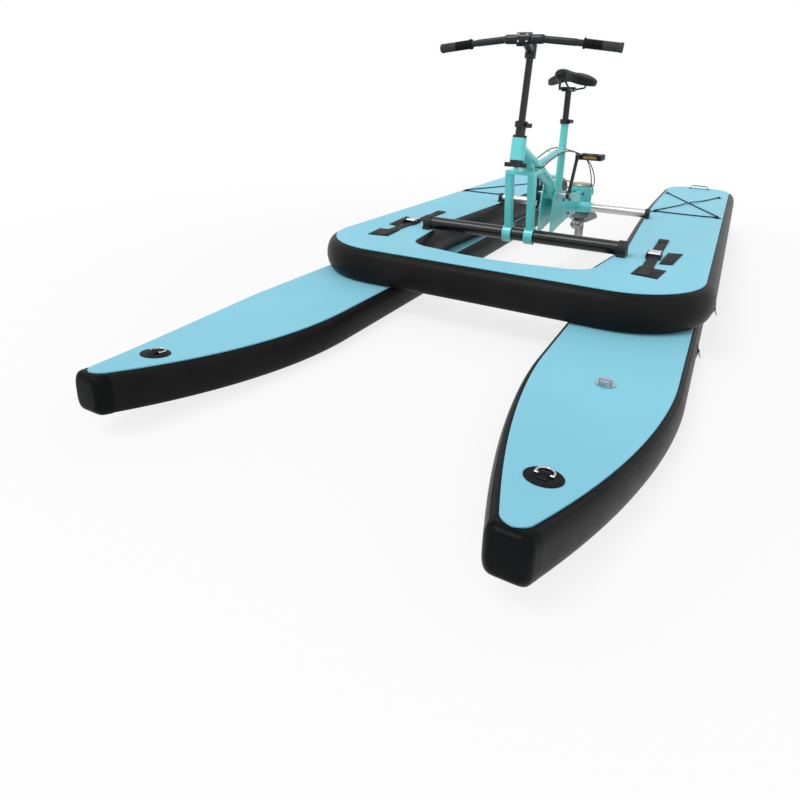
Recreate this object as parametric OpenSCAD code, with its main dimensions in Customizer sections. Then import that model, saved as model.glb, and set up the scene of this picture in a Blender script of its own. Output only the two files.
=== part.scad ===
/* [Pontoons] */
// Length of each pontoon, bow to stern
pontoon_l = 3758; // [3500:2:4200]
// Widest width of each pontoon, rails included
pontoon_w = 396; // [380:2:420]
// Thickness of an inflated pontoon
chamber_t = 100; // [90:1:105]
// Distance between the two pontoons' centre lines
pontoon_pitch = 1016; // [1000:2:1060]
// Rise of the pontoon's nose
rocker_h = 62; // [10:1:80]
// Length over which the nose rises
rocker_l = 740; // [700:10:950]
// Length over which the nose widens to full width
taper_l = 795; // [600:5:1000]
// Thickness of the foam pads
pad_t = 5; // [3:0.5:8]
// Width of the rail left bare around a pontoon's pad
rail_w = 23; // [15:1:25]

/* [Deck] */
// Thickness of the inflated deck
deck_t = 125; // [100:1:127]
// Width of the rail left bare around the deck's pad
deck_rail_w = 36; // [25:1:50]
// Width of the deck pad
deck_w = 1390; // [1350:2:1440]
// Front edge of the deck pad, ahead of the origin
deck_front = 775; // [740:5:800]
// Rear edge of the deck pad, behind the origin
deck_rear = 1820; // [1750:5:1850]
// Radius of the deck's front corners
deck_front_r = 265; // [150:5:300]
// Radius of the deck's rear corners
deck_rear_r = 150; // [80:5:160]

/* [Crossbars] */
// Diameter of the front crossbar
front_bar_d = 52; // [46:1:54]
// Length of the front crossbar
front_bar_l = 816; // [800:2:840]
// Distance of the front crossbar ahead of the origin
front_bar_y = 328; // [310:1:345]
// Diameter of the rear crossbar
rear_bar_d = 40; // [34:1:42]
// Length of the rear crossbar
rear_bar_l = 752; // [744:2:780]
// Distance of the rear crossbar behind the origin
rear_bar_y = 500; // [485:1:520]

/* [Bike frame] */
// Height of the crank axle above the floor
crank_z = 345; // [340:1:360]
// Distance of the crank axle behind the origin
crank_y = 95; // [80:1:110]
// Crank length, axle to pedal
crank_l = 175; // [160:1:178]
// Lean of the steering axis
steer_tilt = 8; // [5:0.5:12]
// Height of the head tube's lower end
head_z = 537; // [530:1:550]
// Length of the head tube
head_l = 80; // [70:1:95]
// Height of the seat tube's top
seat_tube_z = 663; // [640:1:670]
// Distance of the seat tube behind the origin
seat_tube_y = 210; // [200:1:220]
// Diameter of the seatpost
seatpost_d = 27.2; // [25:0.1:28]
// Height of the saddle's rails
saddle_z = 812; // [790:1:830]
// Diameter of the telescopic handlebar post
stem_post_d = 25.4; // [22:0.1:25.6]
// Height of the handlebar post's top along its axis, above the head tube's lower end
stem_top = 392; // [370:1:410]
// Overall width of the handlebar
bar_w = 642; // [560:2:720]

/* [Drive] */
// Distance of the drive leg's axis behind the origin
leg_y = 704; // [695:1:720]
// Height of the input shaft
input_z = 295; // [292:1:300]
// Teeth on the chainring
ring_teeth = 40; // [36:4:40]
// Teeth on the drive sprocket
sprocket_teeth = 14; // [12:1:15]
// Distance of the chain from the centre plane
chain_x = 63; // [63:0.5:66]
// Outer diameter of the drive housing
housing_d = 114; // [110:1:116]
// Diameter of the telescopic leg
leg_d = 40; // [38:0.5:42]
// Height of the propeller shaft with the leg raised
prop_z = 105; // [100:1:108]
// Diameter of the propeller
prop_d = 184; // [140:2:190]

/* [Fits] */
// Radial clearance of a turning or sliding fit
run_fit = 0.05; // [0.02:0.01:0.09]
// Gap between soft pieces and what they lie on
seat_gap = 0.2; // [0.1:0.05:0.3]

/* [Hidden] */
$fn = 48;

teal = "#62D5D8";
pad_blue = "#7CCDE6";
rail_black = "#1C1D1F";
metal = "#C0C2C4";

// Heights are measured from a datum this far above the floor
datum_z = 25;
rail_r = chamber_t / 2;
hull_z = rail_r - datum_z;
pontoon_top = chamber_t + seat_gap + pad_t - datum_z;
deck_z = pontoon_top + seat_gap;
deck_pad_z = deck_z + deck_t + seat_gap;
deck_top = deck_pad_z + pad_t;
pontoon_x = pontoon_pitch / 2;

// The balls at a pipe's bends stand this far proud, which keeps its surfaces clean
joint_bulge = 0.2;

module rod(a, b, r) {
    d = b - a;
    l = norm(d);
    translate(a)
        rotate([0, acos(d[2] / l), atan2(d[1], d[0])])
            cylinder(r = r, h = l);
}

module pipe(points, r) {
    for (i = [0 : len(points) - 2]) rod(points[i], points[i + 1], r);
    for (p = points) translate(p) sphere(r = r + joint_bulge);
}

module on_floor() { translate([0, 0, datum_z]) children(); }

module both_sides() {
    children();
    mirror([1, 0, 0]) children();
}

module along_x(x0, x1, y, z) {
    translate([x0, y, z]) rotate([0, 90, 0]) linear_extrude(x1 - x0) children();
}

// A side-on outline in Y and Z, given thickness along X
module side_plate_solid(x0, x1) {
    translate([x0, 0, 0]) rotate([90, 0, 90]) linear_extrude(x1 - x0) children();
}

// Closed loft through rings of equal point counts
function loft_faces(rings, n) = concat(
    [[for (j = [n - 1 : -1 : 0]) j]],
    [for (i = [0 : rings - 2], j = [0 : n - 1]) [i * n + j, i * n + (j + 1) % n,
        (i + 1) * n + (j + 1) % n]],
    [for (i = [0 : rings - 2], j = [0 : n - 1]) [i * n + j, (i + 1) * n + (j + 1) % n, (i + 1) * n + j]],
    [[for (j = [0 : n - 1]) (rings - 1) * n + j]]
);
module loft(rings) {
    n = len(rings[0]);
    polyhedron(points = [for (r = rings, p = r) p], faces = loft_faces(len(rings), n), convexity = 6);
}

// Pontoon outline: s is the distance from the bow, e the distance from the stern
nose_half = 38;
nose_r = 12;
lip_r = 18;
square_l = 500;
tail_l = 500;
tail_w = 270;
tail_r = 60;
// How far an edge rounded at radius r has drawn back at distance d from its end
function edge_drop(d, r) = d >= r ? 0 : r - sqrt(max(0, r * r - pow(r - d, 2)));
function squared(v, power) = sign(v) * pow(abs(v), power);
function taper(s) = s >= taper_l ? 1 : 1 - pow(1 - s / taper_l, 1.69);
function tail_keep(e) = e >= tail_l ? 0 : pow(1 - e / tail_l, 2) * (pontoon_w - tail_w) / 2;
function pontoon_half(s) = nose_half + (pontoon_w / 2 - nose_half) * taper(s) - edge_drop(s, nose_r)
    - tail_keep(pontoon_l - s) - edge_drop(pontoon_l - s, tail_r);
function rocker(s) = s >= rocker_l ? 0 : rocker_h * pow(1 - s / rocker_l, 2);
function bow_y(s) = s - pontoon_l / 2;
bow_stations = [for (k = [1 : 12]) 40 + (taper_l + 5 - 40) * k / 12];
tail_stations = [for (e = [tail_l, 400, 300, 200, 120, tail_r, 40, 26]) pontoon_l - e];
hull_stations = concat(
    [0, 0.7, 2, 4.5, 8, nose_r, lip_r, 28, 40], bow_stations,
    [pontoon_l / 2], tail_stations, [for (e = [lip_r, 12, 7, 3, 1, 0]) pontoon_l - e]
);
rail_steps = 8;
// The rail's section squares up towards the bow
function hull_ring(s) =
    let (w = pontoon_half(s), t = rail_r - edge_drop(min(s, pontoon_l - s), lip_r), c = w - rail_w,
        power = 1 - 0.4 * pow(max(0, 1 - s / square_l), 1.5), z = hull_z + rocker(s),
        rail = [for (k = [0 : rail_steps]) let (a = -90 + 180 * k / rail_steps)
            [c + rail_w * squared(cos(a), power), z + t * squared(sin(a), power)]])
    concat(
        [for (p = rail) [p[0], bow_y(s), p[1]]],
        [for (k = [rail_steps : -1 : 0]) [-rail[k][0], bow_y(s), rail[k][1]]]
    );
pad_start = 16;
pad_nose_r = 24;
pad_end = pontoon_l - 40;
function pad_ring_half(s) =
    max(1, pontoon_half(s) - rail_w - edge_drop(s - pad_start, pad_nose_r) - edge_drop(pad_end - s,
        tail_r));
pad_stations = concat(
    [for (d = [1, 4, 9, 16, pad_nose_r]) pad_start + d], bow_stations,
    [pontoon_l / 2], tail_stations, [for (e = [13, 6, 2, 0.5]) pad_end - e]
);
function pad_ring(s) =
    let (w = pad_ring_half(s), z = pontoon_top - pad_t + rocker(s))
    [[w, bow_y(s), z], [w, bow_y(s), z + pad_t], [-w, bow_y(s), z + pad_t], [-w, bow_y(s), z]];

module pontoon_chamber() {
    color(rail_black) loft([for (s = hull_stations) hull_ring(s)]);
}
module pontoon_pad() {
    color(pad_blue) loft([for (s = pad_stations) pad_ring(s)]);
}
module port_pontoon() { translate([pontoon_x, 0, 0]) pontoon_chamber(); }
module starboard_pontoon() { translate([-pontoon_x, 0, 0]) pontoon_chamber(); }
module port_pontoon_pad() { translate([pontoon_x, 0, 0]) pontoon_pad(); }
module starboard_pontoon_pad() { translate([-pontoon_x, 0, 0]) pontoon_pad(); }

deck_half = deck_w / 2;
arm_inner = 346;
well_front = 655;
well_corner = [246, -516];
well_corner_r = 105;
well_bend = [120, -645];
front_bend_x = 200;
arc_steps = 8;
// Inner edge of the port arm between its rounded ends
arm_edge = [
    [346, 1471], [347, 997], [354, 748], [363, 500], [372, 286], [385, 9], [391, -171], [370, -365]
];
function arc(x, y, r, a0, a1) = [for (k = [0 : arc_steps]) let (a = a0 + (a1 - a0) * k / arc_steps)
    [x + r * cos(a), y + r * sin(a)]];
rear_r = min(deck_rear_r, (deck_half - arm_inner) / 2 - 1);
// Outer and inner edges of the port half, from the stern forward, point for point across the arm
outer_half = concat(
    arc(deck_half - rear_r, deck_rear - rear_r, rear_r, 90, 0),
    [for (p = arm_edge) [deck_half, p[1]]],
    arc(deck_half - deck_front_r, -deck_front + deck_front_r, deck_front_r, 0, -90),
    [[front_bend_x, -deck_front]]
);
inner_half = concat(
    arc(arm_inner + rear_r, deck_rear - rear_r, rear_r, 90, 180),
    arm_edge,
    arc(well_corner[0], well_corner[1], well_corner_r, 0, -90),
    [well_bend]
);
function port_to_starboard(half, middle) = concat(
    half, [middle], [for (i = [len(half) - 1 : -1 : 0]) [-half[i][0], half[i][1]]]
);
function reversed(a) = [for (i = [len(a) - 1 : -1 : 0]) a[i]];
// Anticlockwise seen from above: the inner edge from port to starboard, then the outer edge back
deck_outline = concat(
    port_to_starboard(inner_half, [0, -well_front]),
    reversed(port_to_starboard(outer_half, [0, -deck_front]))
);
function outward(pts, i) =
    let (n = len(pts), a = pts[(i + n - 1) % n], b = pts[(i + 1) % n], d = (b - a) / norm(b - a))
    [d[1], -d[0]];
deck_levels = 8;
function deck_ring(a) = [for (i = [0 : len(deck_outline) - 1])
    let (p = deck_outline[i] + outward(deck_outline, i) * deck_rail_w * cos(a))
    [p[0], p[1], deck_z + deck_t / 2 * (1 + sin(a))]];
function deck_cap(first, n, flip) = [for (j = [0 : n / 2 - 2])
    let (q = [first + j, first + j + 1, first + n - 2 - j, first + n - 1 - j]) flip ? reversed(q) : q];

module deck_chamber() {
    n = len(deck_outline);
    rings = [for (k = [0 : deck_levels]) deck_ring(90 - 180 * k / deck_levels)];
    sides = [for (i = [0 : deck_levels - 1], j = [0 : n - 1], half = [0, 1])
        half == 0 ? [i * n + j, i * n + (j + 1) % n, (i + 1) * n + (j + 1) % n]
            : [i * n + j, (i + 1) * n + (j + 1) % n, (i + 1) * n + j]];
    color(rail_black) polyhedron(
        points = [for (r = rings, p = r) p],
        faces = concat(deck_cap(0, n, true), sides, deck_cap(deck_levels * n, n, false)),
        convexity = 8
    );
}
module deck_pad() {
    color(pad_blue) translate([0, 0, deck_pad_z]) linear_extrude(pad_t) polygon(deck_outline);
}

// Tow rings on the bows
tow_s = 200;
tow_patch_r = 38;
patch_t = 3;
ring_wire = 5;
ring_w = 34;
ring_straight = 10;
eye_w = 22;
tow_tilt = 2 * rocker_h * (1 - tow_s / rocker_l) / rocker_l * 57.3;
tow_z = pontoon_top + rocker(tow_s);
tow_pivot_z = patch_t + seat_gap + ring_wire / 2 + 0.5;
module at_tow(side) {
    translate([side * pontoon_x, bow_y(tow_s), tow_z + seat_gap]) rotate([-tow_tilt, 0, 0]) children();
}
module tow_patches() {
    color(rail_black) for (side = [-1, 1]) at_tow(side) {
        difference() {
            union() {
                cylinder(r = tow_patch_r, h = patch_t);
                translate([-eye_w / 2, -6, 0]) cube([eye_w, 12, tow_pivot_z + ring_wire / 2 + 2]);
            }
            translate([-eye_w / 2 - 1, 0, tow_pivot_z]) rotate([0, 90, 0])
                cylinder(d = ring_wire + 2 * run_fit, h = eye_w + 2);
        }
    }
}
module tow_ring(side) {
    color(metal) at_tow(side) translate([0, 0, tow_pivot_z]) {
        rod([-ring_w / 2, 0, 0], [ring_w / 2, 0, 0], ring_wire / 2);
        both_sides() pipe([[ring_w / 2, 0, 0], [ring_w / 2, ring_straight, 0]], ring_wire / 2);
        translate([0, ring_straight, 0]) rotate_extrude(angle = 180)
            translate([ring_w / 2, 0]) circle(d = ring_wire);
    }
}
module port_tow_ring() { tow_ring(1); }
module starboard_tow_ring() { tow_ring(-1); }

// Inflation valves
valve_r = 25;
valve_h = 4;
cap_r = 17;
cap_h = 9;
port_valve_s = 713;
port_valve_x = 12;
rail_valve_y = -560;
deck_valve = [-(arm_inner + deck_half) / 2, 1570];
valve_tilt = 2 * rocker_h * (1 - port_valve_s / rocker_l) / rocker_l * 57.3;
module at_port_valve() {
    translate([pontoon_x + port_valve_x, bow_y(port_valve_s),
        pontoon_top + rocker(port_valve_s) + seat_gap])
        rotate([-valve_tilt, 0, 0]) children();
}
module at_rail_valve() {
    translate([-pontoon_x + pontoon_w / 2 - 7, rail_valve_y, hull_z]) rotate([0, 90, 0]) children();
}
module at_deck_valve() {
    translate([deck_valve[0], deck_valve[1], deck_top + seat_gap]) children();
}
module valve_body(skirt) {
    difference() {
        union() {
            cylinder(r = valve_r, h = valve_h + skirt);
            cylinder(r = cap_r - 4, h = valve_h + skirt + 5);
        }
        translate([0, 0, 1 + skirt]) cylinder(r = cap_r - 7, h = valve_h + 8);
    }
}
module valve_cap(skirt) {
    color(metal) translate([0, 0, valve_h + skirt + 0.3]) difference() {
        union() {
            cylinder(r = cap_r, h = cap_h);
            translate([-cap_r, -3, 0]) cube([2 * cap_r, 6, cap_h + 2]);
        }
        translate([0, 0, -1]) cylinder(r = cap_r - 4 + run_fit, h = 6.5);
    }
}
rail_skirt = 9;
// Radius at which the rail curves at mid height
rail_bend = rail_r * rail_r / rail_w;
module valve_bodies() {
    color(metal) {
        at_port_valve() valve_body(0);
        at_deck_valve() valve_body(0);
        difference() {
            at_rail_valve() valve_body(rail_skirt);
            translate([-pontoon_x + pontoon_w / 2 - rail_bend, rail_valve_y - 60, hull_z])
                rotate([-90, 0, 0])
                cylinder(r = rail_bend + seat_gap, h = 120, $fn = 96);
        }
    }
}
module port_valve_cap() { at_port_valve() valve_cap(0); }
module deck_valve_cap() { at_deck_valve() valve_cap(0); }
module starboard_valve_cap() { at_rail_valve() valve_cap(rail_skirt); }

// Cargo cords over the arms
cord_d = 6;
cargo_points = [[368, 1410], [648, 1410], [378, 708], [672, 712]];
cargo_patch_t = 2;
module cargo_patches() {
    color(rail_black) both_sides() for (p = cargo_points)
        translate([p[0], p[1], deck_top + seat_gap]) cylinder(r = 18, h = cargo_patch_t);
}
// Ring of n points about p, square to the direction d; up is any direction that d never takes
function tube_ring(p, d, r, n, up) =
    let (u = d / norm(d), side = cross(up, u), s = side / norm(side), t = cross(u, s))
    [for (k = [0 : n - 1]) let (a = -360 * k / n) p + r * (cos(a) * s + sin(a) * t)];
module swept(points, r, n, up) {
    m = len(points);
    loft([for (i = [0 : m - 1])
        tube_ring(points[i], points[min(i + 1, m - 1)] - points[max(i - 1, 0)], r, n, up)]);
}
// The cord's route over the port arm: a diagonal forward, across, and the other diagonal aft
cargo_route = [
    [365, 1415, 216.4], [385, 1370, 215], [440, 1250, 214.2], [500, 1115, 214], [522, 1068, 214],
    [545, 1015, 214], [620, 850, 214.2], [665, 745, 216], [674, 718, 216.4], [660, 705, 216.4],
    [600, 702, 214.4], [450, 702, 214.4], [392, 704, 216.4], [380, 718, 216.4], [388, 745, 216],
    [430, 860, 214.3], [480, 975, 217], [505, 1035, 220.4], [521, 1068, 220.8], [536, 1105, 220.4],
    [562, 1175, 217], [600, 1280, 214.3], [640, 1385, 216], [650, 1415, 216.4]
];
module bungee_cords() {
    color(rail_black) both_sides() swept(cargo_route, cord_d / 2, 8, [0, 0, 1]);
}

// Strap sets on the arms, beside the front crossbar
strap_w = 38;
strap_t = 2;
strap_x = 504;
buckle_y = -290;
patch_z = deck_top + seat_gap;
strap_patch_t = 2;
front_patch = [474, -578];
rear_patch = [532, -372];
module strap_patches() {
    color(rail_black) both_sides() {
        translate([front_patch[0], front_patch[1], patch_z]) linear_extrude(strap_patch_t)
            polygon([[-8, 14], [78, 0], [92, 122], [4, 136]]);
        translate([rear_patch[0], rear_patch[1], patch_z]) linear_extrude(strap_patch_t)
            polygon([[0, -6], [44, 8], [62, 200], [10, 186]]);
    }
}
strap_z = patch_z + strap_patch_t + seat_gap;
buckle_l = 74;
fold_l = 24;
fold_t = 6;
module strap() {
    translate([strap_x - strap_w / 2, -560, strap_z])
        cube([strap_w, -buckle_l / 2 + buckle_y + 560, strap_t]);
    translate([strap_x - strap_w / 2, buckle_y + buckle_l / 2, strap_z])
        cube([strap_w, 10 - buckle_y - buckle_l / 2, strap_t]);
    translate([strap_x - strap_w / 2, 10, strap_z]) cube([strap_w, fold_l, fold_t]);
}
// Carrying handles at the arms' stern ends
handle_y = 1745;
handle_l = 120;
handle_w = 26;
handle_rise = 18;
module handle() {
    translate([520, handle_y, patch_z]) difference() {
        union() {
            for (x = [-handle_l / 2, handle_l / 2 - 24]) translate([x, -16, 0]) cube([24, 32, 2]);
            translate([-handle_l / 2 + 10, -handle_w / 2, 0])
                cube([handle_l - 20, handle_w, handle_rise + 3]);
        }
        translate([-handle_l / 2 + 14, -20, -1]) cube([handle_l - 28, 40, handle_rise + 1]);
    }
}
module webbing() {
    color(rail_black) both_sides() {
        strap();
        handle();
    }
}
buckle_w = 50;
buckle_h = 16;
lever_pin_z = strap_z + 12;
module buckle_frames() {
    color(metal) both_sides() translate([strap_x, buckle_y, 0]) difference() {
        union() {
            translate([-buckle_w / 2, -buckle_l / 2, strap_z]) cube([buckle_w, buckle_l, 2.5]);
            for (x = [-buckle_w / 2, buckle_w / 2 - 3])
                translate([x, -buckle_l / 2, strap_z]) cube([3, buckle_l, buckle_h]);
        }
        translate([0, 0, lever_pin_z]) rotate([0, 90, 0])
            cylinder(r = 3 + run_fit, h = buckle_w + 2, center = true);
    }
}
module buckle_lever(side) {
    color(metal) translate([side * strap_x, buckle_y, lever_pin_z]) {
        rotate([0, 90, 0]) cylinder(r = 3, h = buckle_w + 1, center = true);
        rotate([0, 90, 0]) cylinder(r = 7, h = buckle_w - 8, center = true);
        translate([-buckle_w / 2 + 4, 0, 0]) cube([buckle_w - 8, 46, 5]);
    }
}
module port_buckle_lever() { buckle_lever(1); }
module starboard_buckle_lever() { buckle_lever(-1); }

// Crossbars and the cradles that hold their ends on the deck
cradle_wall = 4;
cradle_end = 5;
front_bar_z = deck_top + 1 + front_bar_d / 2;
rear_bar_z = deck_top + 1 + rear_bar_d / 2;
module bar_end(half_l, cover, y, z, d) {
    foot_w = d + 4 * cradle_wall;
    difference() {
        union() {
            along_x(half_l - cover, half_l + cradle_end, y, z) circle(d = d + 2 * cradle_wall);
            translate([half_l - cover, y - foot_w / 2, deck_top + seat_gap])
                cube([cover + cradle_end, foot_w, z - deck_top - d / 4]);
        }
        along_x(half_l - cover - 1, half_l + 1, y, z) circle(d = d + 2 * run_fit);
        translate([0, y - 100, 0]) cube([half_l + 100, 200, deck_top + seat_gap]);
    }
}
module bar_cradles() {
    color("#3A3C40") both_sides() {
        bar_end(front_bar_l / 2, 26, -front_bar_y, front_bar_z, front_bar_d);
        bar_end(rear_bar_l / 2, 15, rear_bar_y, rear_bar_z, rear_bar_d);
    }
}
module front_crossbar() {
    color(rail_black) along_x(-front_bar_l / 2, front_bar_l / 2, -front_bar_y, front_bar_z) difference() {
        circle(d = front_bar_d);
        circle(d = front_bar_d - 5);
    }
}
module rear_crossbar() {
    color(metal) along_x(-rear_bar_l / 2, rear_bar_l / 2, rear_bar_y, rear_bar_z) difference() {
        circle(d = rear_bar_d);
        circle(d = rear_bar_d - 5);
    }
}

// Steering axis: leans aft as it rises
head_y = -433;
module at_head() { translate([0, head_y, head_z]) rotate([-steer_tilt, 0, 0]) children(); }
function on_axis(s) = [0, head_y + s * sin(steer_tilt), head_z + s * cos(steer_tilt)];
head_r = 27;
cup_r = 18;
steerer_r = 14.3;

// Main frame
beam_r = 24;
leg_x = 44;
leg_half = 12;
leg_top = [-368, 492];
shell_r = 23;
shell_half = 34;
beam_points = [[0, -400, 572], [0, -168, 487], [0, 35, 405], [0, crank_y, crank_z]];
seat_tube_r = 17;
seat_tube_low = 288;
seat_bore_low = 400;
sleeve_r = rear_bar_d / 2 + 5;
sleeve_half = 105;
clamp_half = 17;
cable_d = 5;
cable_stop_x = 32;
cable_stop_y = -346;
cable_stop_z = leg_top[1] + 8;
module leg_outline() {
    polygon([
        [-front_bar_y - 18, front_bar_z], [-front_bar_y + 18, front_bar_z],
        [leg_top[0] + 20, leg_top[1]], [leg_top[0] - 20, leg_top[1]]
    ]);
}
module frame() {
    color(teal) difference() {
        union() {
            at_head() cylinder(r = head_r, h = head_l);
            pipe(beam_points, beam_r);
            rod(beam_points[0], on_axis(head_l / 2), beam_r);
            both_sides() side_plate_solid(leg_x - leg_half, leg_x + leg_half) leg_outline();
            both_sides() along_x(leg_x - clamp_half, leg_x + clamp_half, -front_bar_y, front_bar_z)
                circle(d = front_bar_d + 16);
            translate([-leg_x - leg_half, leg_top[0] - 20, leg_top[1] - 14])
                cube([2 * (leg_x + leg_half), 120, 14]);
            side_plate_solid(-16, 16) polygon([[-300, 480], [-190, 480], [-160, 500], [-300, 530]]);
            pipe([[0, -178, 494], [0, seat_tube_y, 532]], 14);
            translate([0, seat_tube_y, seat_tube_low])
                cylinder(r = seat_tube_r, h = seat_tube_z - seat_tube_low);
            along_x(-shell_half, shell_half, crank_y, crank_z) circle(r = shell_r);
            rod([0, crank_y, crank_z], [0, seat_tube_y, crank_z - 14], 14);
            along_x(-sleeve_half, sleeve_half, rear_bar_y, rear_bar_z) circle(r = sleeve_r);
            side_plate_solid(-plate_in + 0.3, plate_in - 0.3) box_outline();
            along_x(-plate_in, plate_in, seat_tube_y, lug_z) circle(r = 11);
            both_sides() translate([cable_stop_x - 6, cable_stop_y, leg_top[1] - 1]) cube([12, 16, 16]);
        }
        both_sides() translate([cable_stop_x, cable_stop_y - 1, cable_stop_z]) rotate([-90, 0, 0])
            cylinder(d = cable_d + 0.4, h = 20);
        at_head() translate([0, 0, -20]) cylinder(r = cup_r, h = head_l + 40);
        translate([0, seat_tube_y, seat_bore_low]) cylinder(d = seatpost_d + 2 * run_fit, h = seat_tube_z);
        along_x(-80, 80, -front_bar_y, front_bar_z) circle(d = front_bar_d + 2 * run_fit);
        along_x(-shell_half - 1, shell_half + 1, crank_y, crank_z) circle(r = bearing_r + run_fit);
        along_x(-sleeve_half - 1, sleeve_half + 1, rear_bar_y, rear_bar_z)
            circle(d = rear_bar_d + 2 * run_fit);
        for (b = plate_bolts) along_x(-60, 60, b[0], b[1]) circle(r = bolt_r + run_fit);
    }
}

// Side plates from the crank shell back to the drive housing
plate_in = 25;
plate_t = 5;
lug_z = 304;
bolt_r = 4;
bearing_r = 19;
ear_y = 612;
plate_bolts = [[seat_tube_y, lug_z], [330, 288], [330, 222]];
ear_bolts = [[ear_y, 278], [ear_y, 212]];
housing_r = housing_d / 2;
module box_outline() {
    polygon([
        [seat_tube_y, 262], [300, 216], [rear_bar_y + 34, 216], [rear_bar_y + 34, 276], [300, 296],
        [seat_tube_y, 318]
    ]);
}
module plate_outline() {
    plate_rear = leg_y - sqrt(pow(housing_r, 2) - pow(plate_in, 2)) - 1;
    polygon([
        [crank_y - 58, crank_z - 20], [crank_y - 36, crank_z + 26], [crank_y + 30, crank_z + 34],
        [seat_tube_y + 30, lug_z + 16], [plate_rear, 296], [plate_rear, 184], [504, 198], [305, 197],
        [166, 185], [crank_y - 62, 168]
    ]);
}
module side_plates() {
    color(teal) both_sides() difference() {
        side_plate_solid(plate_in, plate_in + plate_t) plate_outline();
        along_x(0, 60, crank_y, crank_z) circle(r = shell_r + run_fit);
        along_x(0, 60, rear_bar_y, rear_bar_z) circle(r = sleeve_r + run_fit);
        for (b = concat(plate_bolts, ear_bolts)) along_x(0, 60, b[0], b[1]) circle(r = bolt_r + run_fit);
    }
}
module frame_bolts() {
    color("#2A2C2E") for (b = concat(plate_bolts, ear_bolts)) {
        along_x(-plate_in - plate_t - 5, plate_in + plate_t + 5, b[0], b[1]) circle(r = bolt_r);
        both_sides() difference() {
            along_x(plate_in + plate_t + seat_gap, plate_in + plate_t + 5, b[0], b[1]) circle(r = 7);
            along_x(plate_in + plate_t + 3, plate_in + plate_t + 6, b[0], b[1]) circle(r = 3, $fn = 6);
        }
    }
}

// Crank set
axle_r = 9;
crank_in = chain_x + 7;
crank_flare = 12;
crank_t = 13;
crank_lean = 15;
pitch = 12.7;
function pitch_r(n) = pitch / 2 / sin(180 / n);
ring_r = pitch_r(ring_teeth);
sprocket_r = pitch_r(sprocket_teeth);
module bearings() {
    color(metal) both_sides() {
        difference() {
            along_x(shell_half - 12, shell_half + 3, crank_y, crank_z) circle(r = bearing_r);
            along_x(0, 60, crank_y, crank_z) circle(r = axle_r + run_fit);
        }
        difference() {
            along_x(bearing_x, bearing_x + 8, leg_y, input_z) circle(r = shaft_bearing_r);
            along_x(0, 80, leg_y, input_z) circle(r = shaft_r + run_fit);
        }
    }
}
module crank_axle() {
    color(metal) along_x(-crank_in - crank_t - 2, crank_in + crank_t + 2, crank_y, crank_z)
        circle(r = axle_r);
}
pedal_in = crank_in + crank_t + crank_flare + 8;
pedal_l = 96;
spindle_r = 6;
function pedal_at(side) = [
    crank_y + side * crank_l * sin(crank_lean),
    crank_z + side * crank_l * cos(crank_lean)
];
arm_r = 7.5;
module crank(side) {
    p = pedal_at(side);
    x0 = side > 0 ? crank_in : -crank_in - crank_t;
    color(rail_black) difference() {
        union() {
            along_x(x0, x0 + crank_t, crank_y, crank_z) circle(r = 19);
            along_x(x0 + side * crank_flare, x0 + side * crank_flare + crank_t, p[0], p[1]) circle(r = 14);
            rod(
                [side * (crank_in + arm_r + 1), crank_y, crank_z],
                [side * (crank_in + crank_flare + arm_r - 1), p[0], p[1]], arm_r
            );
        }
        along_x(-200, 200, crank_y, crank_z) circle(r = axle_r + run_fit);
        along_x(-200, 200, p[0], p[1]) circle(r = spindle_r + run_fit);
    }
}
module port_crank() { crank(1); }
module starboard_crank() { crank(-1); }
module pedal_spindles() {
    color(metal) for (side = [-1, 1]) {
        p = pedal_at(side);
        rod(
            [side * (crank_in + crank_flare + 1), p[0], p[1]],
            [side * (pedal_in + pedal_l - 4), p[0], p[1]], spindle_r
        );
    }
}
pedal_depth = 84;
pedal_t = 22;
module pedal(side) {
    p = pedal_at(side);
    x0 = side > 0 ? pedal_in : -pedal_in - pedal_l;
    color(rail_black) translate([x0, p[0], p[1]]) difference() {
        union() {
            translate([0, -pedal_depth / 2, -pedal_t / 2]) cube([pedal_l, pedal_depth, pedal_t]);
            rotate([0, 90, 0]) cylinder(r = 13, h = pedal_l);
        }
        for (y = [-30, 15], x = [12, 54]) translate([x, y, -20]) cube([30, 15, 40]);
        translate([-1, 0, 0]) rotate([0, 90, 0]) cylinder(r = spindle_r + run_fit, h = pedal_l + 2);
    }
}
module port_pedal() { pedal(1); }
module starboard_pedal() { pedal(-1); }

// Toothed wheel, centred on its own thickness
module toothed(teeth, r, t) {
    tip = 1.5;
    root = 4.5;
    linear_extrude(t, center = true) polygon([
        for (i = [0 : teeth - 1], k = [0 : 3])
            let (a = 360 * (i + [-0.3, -0.12, 0.12, 0.3][k]) / teeth, q = (k == 1 || k == 2) ? r + tip
                : r - root)
            [q * cos(a), q * sin(a)]
    ]);
}
tooth_t = 2;
module chainring() {
    color(rail_black) translate([-chain_x, crank_y, crank_z]) rotate([0, 90, 0]) difference() {
        union() {
            toothed(ring_teeth, ring_r, tooth_t);
            translate([0, 0, -crank_in + chain_x + 0.1]) cylinder(r = 32, h = crank_in - chain_x);
        }
        for (a = [0 : 72 : 288]) rotate([0, 0, a]) translate([ring_r * 0.62, 0, 0])
            cylinder(r = 13, h = 20, center = true);
        cylinder(r = axle_r + run_fit, h = 40, center = true);
    }
}
module sprocket() {
    color(metal) translate([-chain_x, leg_y, input_z]) rotate([0, 90, 0]) difference() {
        union() {
            toothed(sprocket_teeth, sprocket_r, tooth_t);
            translate([0, 0, -7]) cylinder(r = 14, h = 9);
        }
        cylinder(r = shaft_r + run_fit, h = 40, center = true);
    }
}
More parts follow.
